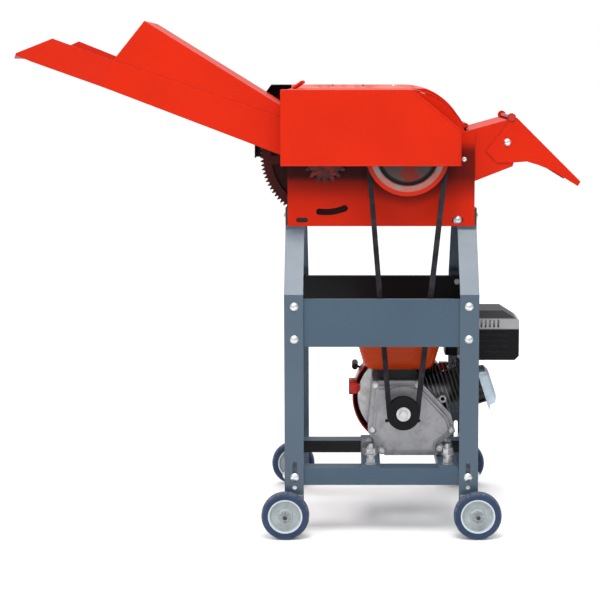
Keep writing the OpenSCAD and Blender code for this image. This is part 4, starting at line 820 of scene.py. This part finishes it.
# %% Swept bars and turned pieces
def sweep(shape, path, radius, sides=8):
    """Round bar along a path; radius is in millimetres, one for all steps or one for each."""
    radii = radius if isinstance(radius, list) else [radius] * len(path)
    turns = [2 * math.pi * k / sides for k in range(sides)]
    rings = []
    for i, point in enumerate(path):
        ahead = (path[min(i + 1, len(path) - 1)] - path[max(i - 1, 0)]).normalized()
        side = ahead.orthogonal().normalized()
        over = ahead.cross(side)
        spokes = [math.cos(turn) * side + math.sin(turn) * over for turn in turns]
        rings.append([shape.verts.new(point + radii[i] / 1000 * spoke) for spoke in spokes])
    cover_rings(shape, rings)


def turned(shape, centre, direction, profile, sides=24):
    """Solid of revolution: profile is a list of radius and height along the direction."""
    tip = direction.to_track_quat("Z", "Y").to_matrix()
    turns = [2 * math.pi * (k + 0.5) / sides for k in range(sides)]
    rings = []
    for r, h in profile:
        ring = [at(r * math.cos(turn), r * math.sin(turn), h) for turn in turns]
        rings.append([shape.verts.new(centre + tip @ point) for point in ring])
    cover_rings(shape, rings)


trial = bmesh.new()
turned(trial, at(0, 0, 0), Vector((0, 0, 1)), [(5, 0), (5, 10)], sides=6)
print("a plain turned hexagon has", len(trial.faces), "faces")
trial.free()


# %% [markdown]
# ## Where the trim sits
# A place could be typed in as three numbers, but then the trim would hang in the air as soon as a
# solid is built a little larger. So every place below is measured from the corners of its carrier:
# the front plate, the belt guard, the rails, the crankcase, the tank and the feed gear.

# %% Corners of the solids that carry trim, in millimetres
def box_mm(node):
    """Lowest and highest corner of a node in millimetres."""
    lowest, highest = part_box(node)
    return lowest * 1000, highest * 1000


forward, backward, up = Vector((0, -1, 0)), Vector((0, 1, 0)), Vector((0, 0, 1))
plate_low, plate_high = box_mm("body_plate_front")
guard_low, guard_high = box_mm("belt_guard")
rails_low = box_mm("frame_rails")[0]
case_low, case_high = box_mm("crankcase")
tank_low, tank_high = box_mm("fuel_tank")
rail_top = case_low.z
print("the engine stands at", round(rail_top), "mm, the front plate at", round(plate_low.z), "mm")

# %% [markdown]
# ## The belt guard's rolled edges
# The guard's cut corner, its right edge and its lower edge are rolled over, so they catch the light
# as a thin line. A bevel on the solid would be hard to give to only these edges; thin bars laid along
# them show the same roll.

# %% Rolled edges of the belt guard
roll_r = 1.7
guard_front = guard_low.y + 0.4
right_x = guard_high.x - 2.5
bottom_z = guard_low.z + 2
cut_l = 101
cut_z = 74
cut_top = at(guard_high.x - cut_l, guard_front, guard_high.z - 2.5)
cut_end = at(right_x, guard_front, guard_low.z + cut_z)
shape = bmesh.new()
sweep(shape, [cut_top, cut_end], roll_r, sides=10)
sweep(shape, [cut_end, at(right_x, guard_front, bottom_z)], roll_r, sides=10)
sweep(shape, [at(guard_low.x + 2, guard_front, bottom_z), at(guard_high.x - 2, guard_front, bottom_z)],
      roll_r, sides=10)
keep("guard_edges", shape, "frame", red_enamel)

# %% [markdown]
# ## Small screws of the body
# A button-headed screw sits beside the belt guard, near the right edge of the front plate, and the
# rear plate has its mate. A squashed sphere would do from afar, but the low dome of a button head
# has a straight wall under it, so the head is a profile turned about the screw's axis.

# %% Screw beside the guard and its mate at the back
button_head = [(5.2, 0.0), (5.2, 1.2), (4.4, 2.4), (2.8, 3.1), (1.2, 3.3)]
screw_x = plate_high.x - 24
screw_z = guard_low.z + 11
shape = bmesh.new()
turned(shape, at(screw_x, plate_low.y, screw_z), forward, button_head)
turned(shape, at(screw_x, -plate_low.y, screw_z), backward, button_head)
keep("body_screws", shape, "frame", zinc)

# %% [markdown]
# ## Studs on the engine rails
# A stud stands up near the front end of each engine rail, above the front base rail. It carries a
# washer and a nut at its foot, then a short sleeve, then a second washer and nut. No thread is
# cut: at this size it is only a dark line. Six sides turned with chamfered ends make the nuts.

# %% Studs, washers and nuts
stud = [(5.0, 0.0), (5.0, 42.0), (4.2, 43.2)]
washer = [(12.2, 0.0), (12.2, 1.9)]
nut = [(9.4, 0.0), (10.4, 1.0), (10.4, 9.6), (9.4, 10.6)]
sleeve = [(7.8, 0.0), (7.8, 8.4)]
washer_h = 1.9
sleeve_z = 12.4
second_z = 20.6
stud_y = rails_low.y + 20
stud_places = (case_low.x + 17, case_high.x - 21)
shape = bmesh.new()
for stud_x in stud_places:
    foot = at(stud_x, stud_y, rail_top)
    turned(shape, foot, up, stud, sides=16)
    turned(shape, foot + at(0, 0, sleeve_z), up, sleeve)
    for rise in (0.0, second_z):
        turned(shape, foot + at(0, 0, rise), up, washer, sides=32)
        turned(shape, foot + at(0, 0, rise + washer_h), up, nut, sides=6)
keep("rail_nuts", shape, "frame", nut_zinc)

# %% [markdown]
# ## Lug on the crankcase
# Beside the engine pulley the crankcase carries a lug with a hole, cast on a short arm. The hole
# could be cut with a boolean; here the lug is one turned profile whose last steps run back down
# inside the hole, which keeps its edges clean.

# %% Lug and its arm
lug_ring = [(7.8, 0.0), (8.4, 0.8), (8.4, 11.0), (7.6, 12.0), (4.4, 12.0), (4.0, 11.2), (4.0, 0.0)]
lug = at(case_high.x - 28.1, case_low.y + 2, case_high.z - 38.7)
arm = [lug + at(-7.2, -2, -1.3), lug + at(-14.2, -2, -7.3), lug + at(-24.2, -1, -15.3)]
shape = bmesh.new()
turned(shape, lug, forward, lug_ring, sides=32)
sweep(shape, arm, 4.2, sides=10)
keep("crankcase_lug", shape, "frame", alloy)

# %% [markdown]
# ## Plug in the front plate's slot
# A rubber plug closes the slot at the left of the front plate, so that no chaff comes out there.
# A stretched cylinder would have pointed ends, so the outline is two half circles joined by straight
# sides. It lies a little below the plate's face.

# %% Slot plug
plug_r = 4.8
plug_half = 8.8
plug_h = 2.2
plug_at = at(plate_low.x + 30.2, plate_high.y - 0.2, plate_low.z + 13)
turns = [math.pi * k / 10 for k in range(11)]
right_end = [(plug_half + plug_r * math.sin(turn), plug_r * math.cos(turn)) for turn in turns]
outline = right_end + [(-x, -z) for x, z in right_end]
shape = bmesh.new()
cover_rings(shape, [[shape.verts.new(plug_at + at(x, y, z)) for x, z in outline] for y in (0.0, -plug_h)])
keep("slot_plug", shape, "frame", boot_rubber)

# %% [markdown]
# ## The feed gear's web
# Between its spokes the big feed gear is closed by a thin web, dark in its own shade. It is a flat
# ring turned about the gear's axis; a second, plain ring is simpler than spokes cut less deep. It
# turns with the gear, so it rides on the lower feed roller's body.

# %% Web between the spokes
web_ring = [(30.0, 0.0), (138.0, 0.0), (138.0, 2.0), (30.0, 2.0)]
web_y = box_mm("feed_gear")[0].y + 8
gear_axis = joint_at["lower_roller_spin"] * 1000
shape = bmesh.new()
turned(shape, at(gear_axis.x, web_y, gear_axis.z), backward, web_ring, sides=96)
keep("gear_web", shape, "lower_feed", gear_web_paint)

# %% [markdown]
# ## The tank's seam
# The tank is pressed in two halves that meet in a crimped seam. A modelled crimp would be a fine fold
# that no light reaches; a thin round bar gives the same bright line. Its path goes round the tank's
# box with its corners rounded as the tank's are.

# %% Crimped seam
def rounded_loop(low, high, corner_r, z, steps=8):
    """Closed path round a rectangle with round corners, in millimetres."""
    middles = [(high.x - corner_r, high.y - corner_r), (low.x + corner_r, high.y - corner_r),
               (low.x + corner_r, low.y + corner_r), (high.x - corner_r, low.y + corner_r)]
    path = []
    for quarter, (x, y) in enumerate(middles):
        for k in range(steps + 1):
            turn = (quarter + k / steps) * math.pi / 2
            path.append(at(x + corner_r * math.cos(turn), y + corner_r * math.sin(turn), z))
    return path + path[:1]


seam_z = tank_low.z + 100
seam_r = 1.9
tank_corner_r = 24
shape = bmesh.new()
sweep(shape, rounded_loop(tank_low, tank_high, tank_corner_r, seam_z), seam_r)
keep("tank_seam", shape, "frame", tank_enamel)

# %% [markdown]
# ## Welds of the engine rails
# The engine rails are welded to the front base rail. A weld bead is rippled where the pool froze
# again and again, so its bar swells and narrows at every other step.

# %% Rippled weld beads
bead_r = 1.8
ripple = 2.2
bead_length = 34
bead_y = rails_low.y + 4
bead_z = rail_top + 0.4
bead_starts = (case_low.x - 3.3, case_high.x - 42.3)
shape = bmesh.new()
for bead_x in bead_starts:
    start, end = at(bead_x, bead_y, bead_z), at(bead_x + bead_length, bead_y, bead_z)
    count = int(bead_length / ripple)
    path = [start.lerp(end, i / count) for i in range(count + 1)]
    sweep(shape, path, [bead_r if i % 2 else bead_r * 0.72 for i in range(count + 1)], sides=7)
keep("engine_rail_welds", shape, "frame", frame_enamel)

# %% [markdown]
# ## Floor
# The machine stands on a plain white floor, wide enough to reach the horizon in every view. Its faint
# clouds are hardly seen; they keep it from being one flat colour.

# %% Floor
floor_reach = 60.0
floor_paint = Finish("studio_floor", Roughness=0.9, Specular_IOR_Level=0.1)
clouds = noise(floor_paint, scale=0.8)
floor_paint.feed("Base Color", blend(floor_paint, clouds, (0.94, 0.94, 0.94), (0.96, 0.96, 0.96)))
corners = [(x * floor_reach, y * floor_reach, 0) for x, y in ((-1, -1), (1, -1), (1, 1), (-1, 1))]
mesh = bpy.data.meshes.new("studio_floor")
mesh.from_pydata(corners, [], [(0, 1, 2, 3)])
mesh.materials.append(floor_paint.material)
floor = bpy.data.objects.new("studio_floor", mesh)
bpy.context.scene.collection.objects.link(floor)
floor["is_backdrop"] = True
print("floor:", 2 * floor_reach, "m wide")

# %% [markdown]
# ## Studio round the machine
# The room is brighter above than at eye level, which shades the undersides softly. What the camera
# itself sees of it is white. A Light Path node tells the two apart, so the white wall doesn't wash
# out the sheets.

# %% World
wall = 1.02
at_horizon = 0.5
overhead_gain = 0.9
world = bpy.data.worlds.new("studio")
bpy.context.scene.world = world
world.use_nodes = True
sky = Finish.of(world, "Background")
sky.shader.inputs["Color"].default_value = (0.98, 0.99, 1.0, 1)
height = ramp(sky, axis(sky, "Z", sky.node("ShaderNodeTexCoord", {}, {}, "Generated")), 0.0, 1.0)
seen = sky.node("ShaderNodeLightPath", {}, {}, "Is Camera Ray")
sky.feed("Strength", (at_horizon + height * overhead_gain) * (1 - seen) + seen * wall)
print("studio light from", at_horizon, "to", at_horizon + overhead_gain)

# %% [markdown]
# ## Lamps
# Three soft boxes look at the middle of the machine. The one at the upper left front gives the sheets
# their gradients, the one above the front lights the leaning parts of the legs, and the one behind
# picks out the tops. Their size keeps the shadows soft.

# %% Soft boxes
low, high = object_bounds()
middle = (low + high) / 2


def lamp(name, where, size, power):
    """A square soft box that looks at the middle of the machine."""
    data = bpy.data.lights.new(name, "AREA")
    data.size = size
    data.energy = power
    made = bpy.data.objects.new(name, data)
    made.location = where
    made.rotation_euler = (middle - Vector(where)).to_track_quat("-Z", "Y").to_euler()
    bpy.context.scene.collection.objects.link(made)
    print(name, "lamp:", power, "W at", where)


lamp("key", (-2.2, -3.0, 2.8), size=2.2, power=38)
lamp("over", (0.17, -1.55, 3.2), size=1.4, power=60)
lamp("back", (0.2, 1.6, 3.0), size=2.4, power=20)

# %% [markdown]
# ## Camera
# The photograph looks straight at the belt side, from a place a little left of the frame's middle,
# about three and a half metres away and as high as the lid. More tilt would make the legs lean, so
# the camera tilts down only a little, and a shift of the picture frames the rest.

# %% Camera at the photograph's place
eye = Vector((0.1080, -3.4063, 0.9741))
tilt = 5.742
camera_data = bpy.data.cameras.new("camera")
camera_data.sensor_width = 36
camera_data.lens = 93.59
camera_data.shift_x = -0.0885
camera_data.shift_y = -0.12
camera_data.clip_end = 200
camera = bpy.data.objects.new("camera", camera_data)
camera.location = eye
camera.rotation_euler = (math.radians(90 - tilt), 0, 0)
bpy.context.scene.collection.objects.link(camera)
bpy.context.scene.camera = camera
bpy.context.scene.view_settings.view_transform = "Standard"
print("camera:", round((eye - middle).length, 2), "m from the machine's middle")

# %% [markdown]
